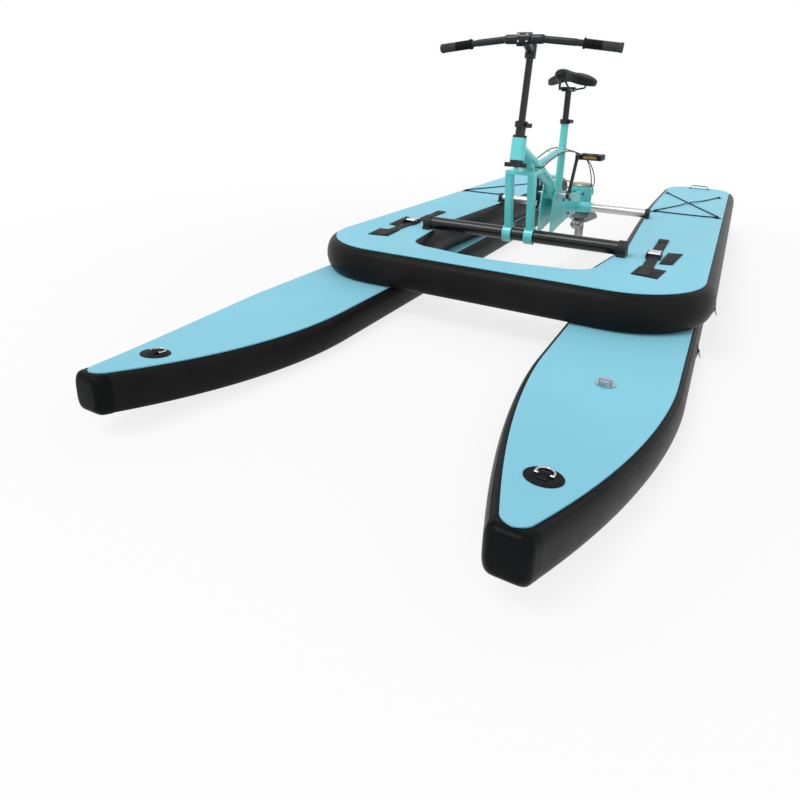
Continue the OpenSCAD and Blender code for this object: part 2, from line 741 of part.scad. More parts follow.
// Chain: an outer outline of two circles and their common tangents
module belt_outline(grow) {
    r1 = ring_r + grow;
    r2 = sprocket_r + grow;
    d = [leg_y - crank_y, input_z - crank_z];
    l = norm(d);
    turn = atan2(d[1], d[0]);
    open = acos((r1 - r2) / l);
    translate([crank_y, crank_z]) circle(r = r1, $fn = 96);
    translate([leg_y, input_z]) circle(r = r2);
    polygon([for (c = [[turn + open, 0], [turn - open, 0], [turn - open, 1], [turn + open, 1]])
        let (r = c[1] == 0 ? r1 : r2, o = c[1] == 0 ? [crank_y, crank_z] : [leg_y, input_z])
        o + r * [cos(c[0]), sin(c[0])]]);
}
chain_h = 4;
chain_w = 7;
slot_w = 3;
module chain() {
    color("#8A8C8E") difference() {
        side_plate_solid(-chain_x - chain_w / 2, -chain_x + chain_w / 2) difference() {
            belt_outline(chain_h);
            belt_outline(-chain_h);
        }
        side_plate_solid(-chain_x - slot_w / 2, -chain_x + slot_w / 2) belt_outline(2);
    }
}

// Input shaft, bevel gears and housing
shaft_r = 6;
shaft_bearing_r = 13;
bearing_x = housing_r - 13;
drive_cone = 22;
driven_cone = 11;
face_keep = 0.68;
mesh_gap = 0.35;
neck_r = 5;
module input_shaft() {
    color(metal) along_x(-chain_x - 10, housing_r - 4, leg_y, input_z) circle(r = shaft_r);
}
module bevel(r_big, height, teeth) {
    difference() {
        union() {
            cylinder(r1 = r_big, r2 = r_big * face_keep, h = height);
            translate([0, 0, -5]) cylinder(r = r_big * 0.8, h = 5.01);
        }
        for (i = [0 : teeth - 1]) rotate([0, 0, 360 * i / teeth]) translate([r_big + 0.4, 0, -6])
            rotate([0, -atan2(r_big * (1 - face_keep), height), 0])
                cylinder(r = r_big * 0.06, h = height * 3);
    }
}
module drive_bevel() {
    color(metal) difference() {
        translate([-driven_cone - mesh_gap, leg_y, input_z]) rotate([0, 90, 0])
            bevel(drive_cone, driven_cone * (1 - face_keep), 24);
        along_x(-40, 10, leg_y, input_z) circle(r = shaft_r + run_fit);
    }
}
module driven_bevel() {
    color(metal) difference() {
        translate([0, leg_y, input_z - drive_cone - mesh_gap])
            bevel(driven_cone, drive_cone * (1 - face_keep), 12);
        translate([0, leg_y, 200]) cylinder(r = neck_r + run_fit, h = 100);
    }
}
housing_low = 165;
housing_high = 312;
bush_r = 34;
bush_h = 15;
web_z = 248;
housing_wall = 6;
sleeve_out_r = leg_d / 2 + 7;
housing_stop_x = housing_r - 3;
module gear_housing() {
    color(teal) difference() {
        union() {
            translate([0, leg_y, housing_low])
                cylinder(r = housing_r, h = housing_high - housing_low, $fn = 96);
            both_sides() translate([plate_in - 6.3, ear_y - 16, 190]) cube([6, leg_y - ear_y, 104]);
            for (y = [-26, 26]) translate([housing_stop_x, leg_y + y, 262]) cylinder(r = 6, h = 30);
        }
        translate([0, leg_y, web_z + bush_h]) cylinder(r = housing_r - housing_wall - 4, h = 200);
        translate([0, leg_y, housing_low + bush_h])
            cylinder(r = housing_r - housing_wall, h = web_z - housing_low - bush_h);
        translate([0, leg_y, 100]) cylinder(r = bush_r + run_fit, h = 200);
        along_x(-80, 80, leg_y, input_z) circle(r = shaft_bearing_r + run_fit);
        for (b = ear_bolts) along_x(-60, 60, b[0], b[1]) circle(r = bolt_r + run_fit);
        for (y = [-26, 26]) translate([housing_stop_x, leg_y + y, 280]) cylinder(d = cable_d + 0.4, h = 30);
    }
}
module housing_cap() {
    color("#A39A8C") translate([0, leg_y, housing_high]) difference() {
        union() {
            cylinder(r1 = housing_r, r2 = housing_r - 8, h = 8, $fn = 96);
            cylinder(r = housing_r - 14, h = 10);
        }
        translate([0, 0, -0.1]) cylinder(r = housing_r - 16, h = 6.5);
        for (a = [30 : 60 : 330]) rotate([0, 0, a]) translate([housing_r - 11, 0, 5])
            cylinder(r = 2.5, h = 10, $fn = 16);
    }
}
module yaw_bushes() {
    color("#3A3C40") for (z = [housing_low, web_z]) translate([0, leg_y, z]) difference() {
        cylinder(r = bush_r, h = bush_h);
        translate([0, 0, -1]) cylinder(r = sleeve_out_r + run_fit, h = bush_h + 2);
    }
}
drum_z = 144;
drum_h = 20;
drum_r = 54;
sleeve_low = 136;
module yaw_sleeve() {
    color("#8A8C8E") translate([0, leg_y, 0]) difference() {
        union() {
            translate([0, 0, sleeve_low]) cylinder(r = sleeve_out_r, h = web_z + bush_h + 4.3 - sleeve_low);
            translate([0, 0, web_z + bush_h + 0.3]) cylinder(r = bush_r - 3, h = 4);
            translate([0, 0, drum_z]) cylinder(r = drum_r, h = drum_h);
        }
        for (z = [drum_z + 6, drum_z + 14]) translate([0, 0, z]) rotate_extrude()
            translate([drum_r, 0]) circle(r = 2, $fn = 16);
        translate([0, 0, 100]) cylinder(d = leg_d + 2 * run_fit, h = 200);
    }
}

// Telescopic leg with its shafts and the propeller
leg_bore = 13.5;
hub_r = 26;
hub_front = 46;
hub_rear = 54;
leg_top_z = web_z + bush_h - 3;
lower_shaft_r = 7;
upper_shaft_r = 11;
lower_cone = 12;
module upper_shaft() {
    color(metal) translate([0, leg_y, 0]) difference() {
        union() {
            translate([0, 0, 141]) cylinder(r = upper_shaft_r, h = 260 - 141);
            translate([0, 0, 259]) cylinder(r = neck_r, h = 22);
        }
        translate([0, 0, 140]) cylinder(r = lower_shaft_r + run_fit, h = 116);
    }
}
module lower_shaft() {
    color(metal) translate([0, leg_y, 0]) {
        translate([0, 0, prop_z + lower_cone + 3])
            cylinder(r = lower_shaft_r, h = 246 - prop_z - lower_cone);
        translate([0, 0, prop_z + lower_cone + mesh_gap]) rotate([180, 0, 0]) translate([0, 0, -5])
            cylinder(r = 9, h = 5);
        translate([0, 0, prop_z + lower_cone * face_keep + mesh_gap])
            cylinder(r1 = lower_cone * face_keep, r2 = lower_cone, h = lower_cone * (1 - face_keep));
    }
}
module drive_leg() {
    color("#8A8C8E") translate([0, leg_y, 0]) difference() {
        union() {
            translate([0, 0, prop_z]) cylinder(d = leg_d, h = leg_top_z - prop_z);
            translate([0, -hub_front, prop_z]) rotate([-90, 0, 0])
                cylinder(r = hub_r, h = hub_front + hub_rear);
            translate([0, -hub_front, prop_z]) sphere(r = hub_r);
            translate([-3, -30, 14]) cube([6, 50, prop_z - 30]);
        }
        translate([0, -28, prop_z]) rotate([-90, 0, 0]) cylinder(r = 17, h = 64);
        translate([0, 0, prop_z]) rotate([-90, 0, 0]) cylinder(r = shaft_r + run_fit, h = hub_rear + 1);
        translate([0, 0, prop_z]) cylinder(r = leg_bore, h = leg_top_z);
    }
}
prop_y = hub_rear + 6;
module prop_shaft() {
    color(metal) translate([0, leg_y, prop_z]) rotate([-90, 0, 0]) {
        translate([0, 0, -20]) cylinder(r = shaft_r, h = 20 + prop_y + 40);
        translate([0, 0, lower_cone * face_keep + mesh_gap])
            cylinder(r1 = lower_cone * face_keep, r2 = lower_cone, h = lower_cone * (1 - face_keep));
        translate([0, 0, lower_cone + mesh_gap]) cylinder(r = 10, h = 6);
    }
}
blade_count = 3;
module propeller() {
    color("#B9BEC2") translate([0, leg_y + prop_y, prop_z]) rotate([-90, 0, 0]) difference() {
        union() {
            cylinder(r = 21, h = 32);
            translate([0, 0, 32]) sphere(r = 14);
            intersection() {
                translate([0, 0, -1]) cylinder(r = prop_d / 2, h = 36);
                for (i = [0 : blade_count - 1]) rotate([0, 0, 360 * i / blade_count + 90])
                    translate([0, 0, 16])
                    rotate([34, 0, 0]) intersection() {
                        translate([0, 0, -1.75]) linear_extrude(3.5) union() {
                            translate([prop_d / 4 + 4, 0]) circle(r = prop_d / 4 - 4);
                            translate([0, -9]) square([40, 18]);
                        }
                        translate([0, -26, -5]) cube([prop_d / 2, 52, 10]);
                    }
            }
        }
        translate([0, 0, -2]) cylinder(r = shaft_r + run_fit, h = 42);
    }
}

// Steering column and handlebar
cup_h = 9;
module headset() {
    color("#2A2C2E") at_head() for (z = [0, head_l]) translate([0, 0, z]) mirror([0, 0, z == 0 ? 1 : 0])
        difference() {
        union() {
            translate([0, 0, seat_gap]) cylinder(r = head_r - 1, h = cup_h);
            translate([0, 0, -12]) cylinder(r = cup_r - run_fit, h = 13);
        }
        translate([0, 0, -13]) cylinder(r = steerer_r + run_fit, h = 40);
    }
}
socket_top = 140;
socket_r = 18;
arm_half = 42;
arm_h = 16;
arm_low = -cup_h - 0.5 - arm_h;
module steerer() {
    color("#2A2C2E") at_head() difference() {
        union() {
            translate([0, 0, arm_low]) cylinder(r = steerer_r, h = socket_top - arm_low - 10);
            translate([0, 0, head_l + cup_h + 0.5])
                cylinder(r = socket_r, h = socket_top - head_l - cup_h - 0.5);
            translate([0, 0, arm_low]) linear_extrude(arm_h) union() {
                square([2 * arm_half, 22], center = true);
                circle(r = 24);
            }
        }
        translate([0, 0, arm_low - 1])
            cylinder(d = stem_post_d + 2 * run_fit, h = socket_top - arm_low + 2);
        for (x = [-arm_half + 7, arm_half - 7]) translate([x, 0, arm_low - 1]) cylinder(r = 3, h = 20);
        translate([-1, 0, socket_top - 26]) cube([2, 40, 40]);
    }
}
post_low = 62;
stem_reach = 84;
stem_rise = 12;
stem_clamp_r = 23;
bar_center_r = 15.9;
module stem_post() {
    color("#2A2C2E") at_head() difference() {
        union() {
            translate([0, 0, post_low]) cylinder(d = stem_post_d, h = stem_top - post_low);
            translate([0, 0, stem_top - 34]) cylinder(r = 20, h = 44);
            rod([0, 0, stem_top - 10], [0, -stem_reach, stem_top + stem_rise], 15);
            translate([-24, -stem_reach, stem_top + stem_rise]) rotate([0, 90, 0])
                cylinder(r = stem_clamp_r, h = 48);
        }
        translate([-30, -stem_reach, stem_top + stem_rise]) rotate([0, 90, 0])
            cylinder(r = bar_center_r + run_fit, h = 60);
        translate([0, 0, post_low - 1]) cylinder(d = stem_post_d - 5, h = stem_top - post_low - 40);
    }
}
bar_r = 11.1;
grip_r = 15.5;
grip_l = 116;
bar_half = bar_w / 2;
function bar_point(x, back, drop) = on_axis(stem_top + stem_rise)
    + [x, -stem_reach * cos(steer_tilt) + back, stem_reach * sin(steer_tilt) - drop];
module handlebar() {
    color("#2A2C2E") both_sides() {
        rod(bar_point(-1, 0, 0), bar_point(60, 0, 0), bar_center_r);
        translate(bar_point(60, 0, 0)) sphere(r = bar_center_r + joint_bulge);
        rod(bar_point(60, 0, 0), bar_point(bar_half - 150, 10, 10), bar_r + 1);
        translate(bar_point(bar_half - 150, 10, 10)) sphere(r = bar_r + 1 + joint_bulge);
        rod(bar_point(bar_half - 150, 10, 10), bar_point(bar_half, 28, 27), bar_r);
    }
}
grip_in = bar_half - grip_l;
function bar_fraction(x) = (x - (bar_half - 150)) / 150;
function grip_point(x) = bar_point(x, 10 + 18 * bar_fraction(x), 10 + 17 * bar_fraction(x));
module grips() {
    color(rail_black) both_sides() difference() {
        union() {
            rod(grip_point(grip_in), grip_point(bar_half + 4), grip_r);
            rod(grip_point(grip_in - 6), grip_point(grip_in + 4), grip_r + 3);
        }
        rod(grip_point(grip_in - 30), grip_point(bar_half + 0.5), bar_r + run_fit);
    }
}

// Quick-release collar: split ring with two ears and a cam lever on a pin
collar_h = 20;
lever_l = 62;
module collar(tube_r) {
    difference() {
        union() {
            cylinder(r = tube_r + 6, h = collar_h);
            translate([-10, 0, 0]) cube([20, tube_r + 20, collar_h]);
        }
        translate([0, 0, -1]) cylinder(r = tube_r + run_fit, h = collar_h + 2);
        translate([-1.5, 0, -1]) cube([3, tube_r + 30, collar_h + 2]);
        translate([-30, tube_r + 13, collar_h / 2]) rotate([0, 90, 0]) cylinder(r = 3 + run_fit, h = 60);
    }
}
module cam_lever(tube_r) {
    blade_x = tube_r + 7;
    translate([0, tube_r + 13, collar_h / 2]) {
        translate([-13, 0, 0]) rotate([0, 90, 0]) cylinder(r = 3, h = 26);
        translate([10.3, 0, 0]) rotate([0, 90, 0]) cylinder(r = 8, h = blade_x - 6.3);
        translate([-16, 0, 0]) rotate([0, 90, 0]) cylinder(r = 6.5, h = 5.7);
        translate([blade_x, -lever_l, -5]) cube([5, lever_l, 10]);
    }
}
post_clamp_s = socket_top - collar_h - 2;
module post_clamp() { color("#2A2C2E") at_head() translate([0, 0, post_clamp_s]) collar(socket_r); }
module post_lever() { color(metal) at_head() translate([0, 0, post_clamp_s]) cam_lever(socket_r); }

// Steering cables: from the stops behind the head tube, beside the beam and past the seat tube,
// to the stops on the drive housing
port_cable_route = [
    [32, -338, 500], [32, -300, 500], [31.5, -262, 497], [31, -220, 491], [30, -170, 493], [30, -110, 505],
    [32, -40, 516], [34, 30, 525], [38, 100, 530], [42, 180, 529], [46, 260, 519], [49, 340, 505],
    [51, 420, 489], [54, 500, 465], [57, 570, 424], [58, 625, 376], [57, 662, 334], [54, 677.5, 306],
    [54, 678, 296], [54, 678, 286]
];
starboard_cable_route = [
    [-32, -338, 500], [-32, -300, 500], [-31.5, -262, 497], [-31, -220, 491], [-30, -170, 493],
    [-30, -110, 505], [-32, -40, 516], [-34, 30, 525], [-37, 100, 532], [-38, 170, 536], [-32, 240, 535],
    [-14, 310, 526], [10, 380, 512], [32, 450, 494], [49, 520, 468], [60, 600, 424], [64, 665, 376],
    [62, 712, 334], [55, 729, 308], [54, 730, 296], [54, 730, 286]
];
module steering_cables() {
    color("#2A2C2E") {
        swept(port_cable_route, cable_d / 2, 8, [1, 0, 0]);
        swept(starboard_cable_route, cable_d / 2, 8, [1, 0, 0]);
    }
}

// Seatpost with its clamp, and the saddle
rail_gap = 22;
seat_rail_r = 4;
seat_rail_z = saddle_z - 20;
seat_rails = [
    [9, 78, saddle_z + 22], [rail_gap, 138, seat_rail_z], [rail_gap, 232, seat_rail_z],
    [55, 266, seat_rail_z + 8], [60, 288, saddle_z + 8]
];
post_bottom = 520;
module seatpost() {
    color("#2A2C2E") {
        translate([0, seat_tube_y, post_bottom]) cylinder(d = seatpost_d, h = seat_rail_z - post_bottom);
        for (side = [1, -1])
            swept([for (p = seat_rails) [side * p[0], p[1], p[2]]], seat_rail_r, 12, [1, 0, 0]);
        translate([-rail_gap - 6, seat_tube_y - 15, seat_rail_z - 9]) cube([2 * rail_gap + 12, 30, 20]);
    }
}
seat_clamp_z = seat_tube_z - collar_h + 2;
module seat_clamp() { color("#2A2C2E") translate([0, seat_tube_y, seat_clamp_z]) collar(seat_tube_r); }
module seat_lever() { color(metal) translate([0, seat_tube_y, seat_clamp_z]) cam_lever(seat_tube_r); }
// Each saddle section: distance behind the origin, half width, middle height, depth
saddle_sections = [
    [38, 13, 38, 20], [48, 23, 45, 36], [80, 28, 48, 46], [120, 33, 45, 50], [160, 48, 41, 52],
    [195, 76, 38, 52], [225, 98, 38, 50], [258, 108, 39, 50], [288, 100, 40, 46], [304, 70, 37, 34]
];
saddle_droop = 0.22;
saddle_points = 20;
function saddle_depth(u, v) = v > 0 ? 0.3 : 0.5 + 0.35 * u * u;
function saddle_ring(c) = [for (k = [0 : saddle_points - 1])
    let (a = 360 * k / saddle_points, u = squared(cos(a), 0.7), v = squared(sin(a), 0.7))
    [c[1] * u, c[0], saddle_z + c[2] - saddle_droop * c[1] * u * u + saddle_depth(u, v) * c[3] * v]];
module saddle() {
    color(rail_black) loft([for (c = saddle_sections) saddle_ring(c)]);
}

on_floor() port_pontoon();
on_floor() starboard_pontoon();
on_floor() port_pontoon_pad();
on_floor() starboard_pontoon_pad();
on_floor() deck_chamber();
on_floor() deck_pad();
on_floor() tow_patches();
on_floor() port_tow_ring();
on_floor() starboard_tow_ring();
on_floor() valve_bodies();
on_floor() port_valve_cap();
on_floor() starboard_valve_cap();
on_floor() deck_valve_cap();
on_floor() cargo_patches();
on_floor() bungee_cords();
on_floor() strap_patches();
on_floor() webbing();
on_floor() buckle_frames();
on_floor() port_buckle_lever();
on_floor() starboard_buckle_lever();
on_floor() bar_cradles();
on_floor() front_crossbar();
on_floor() rear_crossbar();
on_floor() frame();
on_floor() side_plates();
on_floor() frame_bolts();
on_floor() bearings();
on_floor() crank_axle();
on_floor() chainring();
on_floor() port_crank();
on_floor() starboard_crank();
on_floor() pedal_spindles();
on_floor() port_pedal();
on_floor() starboard_pedal();
on_floor() chain();
on_floor() sprocket();
on_floor() input_shaft();
on_floor() drive_bevel();
on_floor() driven_bevel();
on_floor() gear_housing();
on_floor() housing_cap();
on_floor() yaw_bushes();
on_floor() yaw_sleeve();
on_floor() upper_shaft();
on_floor() lower_shaft();
on_floor() drive_leg();
on_floor() prop_shaft();
on_floor() propeller();
on_floor() headset();
on_floor() steerer();
on_floor() steering_cables();
on_floor() stem_post();
on_floor() post_clamp();
on_floor() post_lever();
on_floor() handlebar();
on_floor() grips();
on_floor() seatpost();
on_floor() seat_clamp();
on_floor() seat_lever();
on_floor() saddle();
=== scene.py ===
import bmesh
import bpy
import math
from mathutils import Matrix, Vector

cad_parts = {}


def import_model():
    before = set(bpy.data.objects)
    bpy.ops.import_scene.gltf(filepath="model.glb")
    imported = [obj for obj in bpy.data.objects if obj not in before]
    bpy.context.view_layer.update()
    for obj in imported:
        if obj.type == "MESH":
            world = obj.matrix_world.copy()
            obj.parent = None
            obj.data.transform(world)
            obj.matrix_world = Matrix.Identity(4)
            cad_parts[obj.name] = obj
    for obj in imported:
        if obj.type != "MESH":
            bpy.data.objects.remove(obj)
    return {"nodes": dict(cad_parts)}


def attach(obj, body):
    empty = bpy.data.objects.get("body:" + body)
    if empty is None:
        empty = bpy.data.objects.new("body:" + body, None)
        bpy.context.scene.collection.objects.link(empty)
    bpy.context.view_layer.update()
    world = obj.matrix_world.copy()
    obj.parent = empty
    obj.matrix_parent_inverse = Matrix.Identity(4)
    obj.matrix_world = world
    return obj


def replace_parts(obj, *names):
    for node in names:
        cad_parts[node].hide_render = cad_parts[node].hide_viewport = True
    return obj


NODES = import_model()["nodes"]
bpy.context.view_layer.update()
MM = 0.001

# Sizes shared with the CAD source, in millimetres. Heights count from a datum, DATUM_Z above the floor
DATUM_Z = 25
PONTOON_L, PONTOON_HALF_W, CHAMBER_T, PONTOON_X = 3758, 198, 100, 508
NOSE_HALF, NOSE_R, LIP_R, SQUARE_L = 38, 12, 18, 500
ROCKER_H, ROCKER_L, TAPER_L = 62, 740, 795
TAIL_L, TAIL_HALF_W, TAIL_R, RAIL_W, RAIL_R = 500, 135, 60, 23, 50
DECK_T, DECK_RAIL_W = 125, 36
PAD_T, GAP = 5, 0.2
HULL_Z = RAIL_R - DATUM_Z
PONTOON_TOP = CHAMBER_T + GAP + PAD_T - DATUM_Z
DECK_Z = PONTOON_TOP + GAP
DECK_PAD_Z = DECK_Z + DECK_T + GAP
DECK_TOP = DECK_PAD_Z + PAD_T
PATCH_Z = DECK_TOP + GAP
STEER_TILT = math.radians(8)
HEAD_Y, HEAD_Z = -433, 537
CRANK_Y, CRANK_Z, CRANK_L, LEG_Y, INPUT_Z = 95, 345, 175, 704, 295
CHAIN_X, LINK_PITCH, RING_TEETH, SPROCKET_TEETH = -63, 12.7, 40, 14
FRAME_FRONT_Y, SEAT_TUBE_Y, REAR_BAR_Y, HOUSING_R = -168, 210, 500, 57


# Materials

COAT_ROUGH = 0.1


def new_node(tree, kind, **values):
    """A node with its properties set, or else its inputs."""
    made = tree.nodes.new(kind)
    for key, value in values.items():
        if hasattr(made, key):
            setattr(made, key, value)
        else:
            made.inputs[key.replace("_", " ")].default_value = value
    return made


class Shader:
    """One node material with a Principled surface and short helpers for its textures."""

    def __init__(self, name, rough=0.5, metallic=0.0, specular=0.5, coat=0.0, sheen=0.0):
        self.material = bpy.data.materials.new(name)
        self.material.use_nodes = True
        self.tree = self.material.node_tree
        self.surface = self.tree.nodes["Principled BSDF"]
        for key, value in (("Roughness", rough), ("Metallic", metallic), ("Specular IOR Level", specular),
                           ("Coat Weight", coat), ("Coat Roughness", COAT_ROUGH), ("Sheen Weight", sheen)):
            self.surface.inputs[key].default_value = value
        self.coordinates = self.tree.nodes.new("ShaderNodeTexCoord")
        self.height = None

    def node(self, kind, **values):
        return new_node(self.tree, kind, **values)

    def link(self, source, target):
        self.tree.links.new(source, target)

    def place(self, scale=(1, 1, 1), turn=(0, 0, 0), uv=False):
        made = self.node("ShaderNodeMapping", Scale=scale, Rotation=turn)
        self.link(self.coordinates.outputs["UV" if uv else "Object"], made.inputs["Vector"])
        return made.outputs["Vector"]

    def noise(self, scale, detail=3.0, where=None, roughness=0.5):
        made = self.node("ShaderNodeTexNoise", Scale=scale, Detail=detail, Roughness=roughness)
        self.link(where or self.coordinates.outputs["Object"], made.inputs["Vector"])
        return made.outputs["Fac"]

    def wave(self, scale, where):
        made = self.node("ShaderNodeTexWave", Scale=scale)
        self.link(where, made.inputs["Vector"])
        return made.outputs["Fac"]

    def cells(self, scale):
        made = self.node("ShaderNodeTexVoronoi", Scale=scale)
        self.link(self.coordinates.outputs["Object"], made.inputs["Vector"])
        return made.outputs["Distance"]

    def ramp(self, value, stops):
        made = self.node("ShaderNodeValToRGB")
        elements = made.color_ramp.elements
        while len(elements) < len(stops):
            elements.new(0.5)
        for element, (position, colour) in zip(elements, stops):
            element.position = position
            element.color = (*colour, 1)
        self.link(value, made.inputs["Fac"])
        return made.outputs["Color"]

    def mix(self, kind, fac, a, b):
        made = self.node("ShaderNodeMix", data_type="RGBA", blend_type=kind)
        for value, target in ((fac, made.inputs[0]), (a, made.inputs[6]), (b, made.inputs[7])):
            if isinstance(value, (int, float)):
                target.default_value = value
            elif isinstance(value, tuple):
                target.default_value = (*value, 1)
            else:
                self.link(value, target)
        return made.outputs[2]

    def colour(self, output):
        self.link(output, self.surface.inputs["Base Color"])

    def rough(self, value, low, high):
        made = self.node("ShaderNodeMapRange", To_Min=low, To_Max=high)
        self.link(value, made.inputs["Value"])
        self.link(made.outputs["Result"], self.surface.inputs["Roughness"])

    def bump(self, value, strength, distance):
        made = self.node("ShaderNodeBump", Strength=strength, Distance=distance)
        self.link(value, made.inputs["Height"])
        if self.height is not None:
            self.link(self.height, made.inputs["Normal"])
        self.height = made.outputs["Normal"]
        self.link(self.height, self.surface.inputs["Normal"])


def rgb(text, gain=1.0):
    """Linear colour of a hex value as it is seen on a screen."""
    parts = [int(text[i:i + 2], 16) / 255 for i in (1, 3, 5)]
    linear = [c / 12.92 if c <= 0.04045 else ((c + 0.055) / 1.055) ** 2.4 for c in parts]
    return tuple(min(1.0, c * gain) for c in linear)


def shades(text, low=0.9, high=1.08):
    return [(0.3, rgb(text, low)), (0.7, rgb(text, high))]


def paint(name, colour, rough, coat=0.0, specular=0.5, grain=420.0, peel=0.06, vary=(0.93, 1.05)):
    made = Shader(name, rough=rough, coat=coat, specular=specular)
    made.colour(made.ramp(made.noise(9, 4), shades(colour, *vary)))
    made.rough(made.noise(35, 5), rough * 0.8, rough * 1.25)
    made.bump(made.noise(grain, 2), peel, 0.0006)
    return made.material


def metal(name, colour, rough, stretch=(1, 1, 1), scale=160.0, scratch=0.12):
    made = Shader(name, rough=rough, metallic=1.0)
    grain = made.noise(scale, 6, made.place(stretch), 0.7)
    made.colour(made.ramp(grain, shades(colour, 0.82, 1.08)))
    made.rough(grain, rough * 0.7, rough * 1.4)
    made.bump(grain, scratch, 0.0003)
    return made.material


def inflatable_skin(name, colour, rough, specular=0.06):
    """Coated fabric: a fine weave under a satin skin, with the slow waves of a taut chamber."""
    made = Shader(name, rough=rough, specular=specular)
    made.colour(made.ramp(made.noise(7, 5), shades(colour, 0.8, 1.25)))
    made.rough(made.noise(22, 6), rough * 0.85, rough * 1.2)
    made.bump(made.noise(5, 2), 0.35, 0.004)
    weave = made.mix("MULTIPLY", 1.0, made.wave(160, made.place(turn=(0, 0, 0.8))),
                     made.wave(160, made.place(turn=(0.6, 0, -0.8))))
    made.bump(weave, 0.08, 0.0003)
    return made.material


def foam(name, colour):
    """Closed-cell foam sheet: fine open grain, soft sheen, faint handling marks."""
    made = Shader(name, rough=0.62, specular=0.35, sheen=0.12)
    speckle = made.noise(900, 2)
    tone = made.ramp(made.noise(2.2, 4), shades(colour, 0.965, 1.03))
    grey = made.ramp(speckle, [(0.3, (0.9, 0.9, 0.9)), (0.7, (1, 1, 1))])
    made.colour(made.mix("MULTIPLY", 0.5, tone, grey))
    made.rough(made.noise(6, 5), 0.52, 0.72)
    made.bump(made.cells(420), 0.16, 0.0004)
    made.bump(speckle, 0.12, 0.0004)
    return made.material


def woven(name, colour, thread):
    """Webbing or braid, laid out in the piece's own UVs, in metres."""
    made = Shader(name, rough=0.75, specular=0.15, sheen=0.12)
    across = made.wave(thread / 20, made.place(turn=(0, 0, math.radians(45)), uv=True))
    along = made.wave(thread / 20, made.place(turn=(0, 0, math.radians(-45)), uv=True))
    threads = made.mix("MULTIPLY", 1.0, across, along)
    made.colour(made.ramp(threads, shades(colour, 0.7, 1.5)))
    made.rough(made.noise(60, 4), 0.6375, 1.0)
    made.bump(threads, 0.5, 0.0006)
    return made.material


def grained(name, colour, rough, grain=260.0, depth=0.3, specular=0.4):
    """Moulded rubber, plastic or synthetic leather with a pebbled grain."""
    made = Shader(name, rough=rough, specular=specular)
    made.colour(made.ramp(made.noise(14, 4), shades(colour, 0.85, 1.2)))
    made.rough(made.noise(40, 5), rough * 0.85, rough * 1.15)
    made.bump(made.cells(grain), depth, 0.0006)
    return made.material


PVC = inflatable_skin("black_pvc", "#1C1B1B", 0.36)
# Near-black: a painted shade for the bow's flat front face, which faces away from the light
PVC_NOSE_SHADE = inflatable_skin("nose_shade_pvc", "#0F1011", 0.3, 0.05)
# Dark navy: the welt's own colour, and also a painted shade along each pad's edge
SEAM_AND_SHADE = inflatable_skin("seam_and_shade_pvc", "#0C161D", 0.4)
PATCH = inflatable_skin("patch_pvc", "#191B1E", 0.5)
FOAM = foam("blue_foam", "#86D1E6")
TURQUOISE = paint("turquoise_paint", "#64D6D6", 0.34, coat=0.35)
WELD = paint("turquoise_weld", "#5CCBCC", 0.4, coat=0.2, grain=700, peel=0.4)
BLACK_PAINT = paint("black_paint", "#19191B", 0.24, coat=0.1, specular=0.32, vary=(0.8, 1.3))
BLACK_SATIN = paint("black_satin", "#191A1C", 0.5, specular=0.2, vary=(0.8, 1.3))
SILVER = metal("silver_tube", "#C9C8C6", 0.3, (2, 60, 60))
STEEL = metal("steel", "#C3C4C6", 0.26, (30, 30, 30), scratch=0.06)
DARK_STEEL = metal("dark_steel", "#6B6B6D", 0.34, (20, 20, 20))
CAP_METAL = metal("bronze_cap", "#A79C8C", 0.36, (14, 14, 60))
BRONZE = metal("bronze_bush", "#C19A5E", 0.34, (40, 40, 4))
ALLOY = metal("grey_alloy", "#9C9EA0", 0.42, (50, 50, 3))
VALVE = metal("valve_metal", "#B3BEC6", 0.18, (20, 20, 20), scratch=0.05)
CHAIN = metal("chain_steel", "#8E8B86", 0.3, (60, 60, 60))
BLACK_PLASTIC = grained("black_plastic", "#151617", 0.52, 500, 0.15, 0.15)
GREY_PLASTIC = grained("grey_plastic", "#2C2E31", 0.48, 420, 0.15, 0.2)
PROP_PLASTIC = grained("prop_plastic", "#B9BEC2", 0.36, 300, 0.06)
RUBBER = grained("black_rubber", "#141415", 0.68, 700, 0.2, 0.15)
GREY_RUBBER = grained("grey_rubber", "#3D3E3F", 0.62, 700, 0.2, 0.2)
SADDLE_SKIN = grained("saddle_skin", "#151516", 0.5, 330, 0.4, 0.18)
WEBBING = woven("black_webbing", "#151618", 9000)
CORD = woven("black_cord", "#17202A", 14000)
THREAD = grained("thread", "#5A5C60", 0.8, 900, 0.2)
AMBER = grained("amber_reflector", "#8A7430", 0.25, 240, 0.5, 0.5)

CAD_MATERIALS = {
    BLACK_PAINT: ["front_crossbar", "port_crank", "starboard_crank", "steerer", "stem_post", "post_clamp",
                  "handlebar", "headset", "seatpost", "seat_clamp", "frame_bolts"],
    BLACK_SATIN: ["chainring", "buckle_frames"],
    SILVER: ["rear_crossbar"],
    TURQUOISE: ["frame", "side_plates", "gear_housing"],
    STEEL: ["port_tow_ring", "starboard_tow_ring", "port_buckle_lever", "starboard_buckle_lever",
            "bearings", "crank_axle", "pedal_spindles", "sprocket", "input_shaft", "upper_shaft",
            "lower_shaft", "prop_shaft"],
    DARK_STEEL: ["drive_bevel", "driven_bevel"],
    BLACK_PLASTIC: ["port_pedal", "starboard_pedal", "post_lever", "seat_lever"],
    GREY_PLASTIC: ["bar_cradles"],
    CAP_METAL: ["housing_cap"],
    BRONZE: ["yaw_bushes"],
    ALLOY: ["yaw_sleeve", "drive_leg"],
    VALVE: ["valve_bodies", "port_valve_cap", "starboard_valve_cap", "deck_valve_cap"],
    PROP_PLASTIC: ["propeller"],
}
for material, names in CAD_MATERIALS.items():
    for name in names:
        slots = NODES[name].data.materials
        slots.clear()
        slots.append(material)


# Mesh helpers

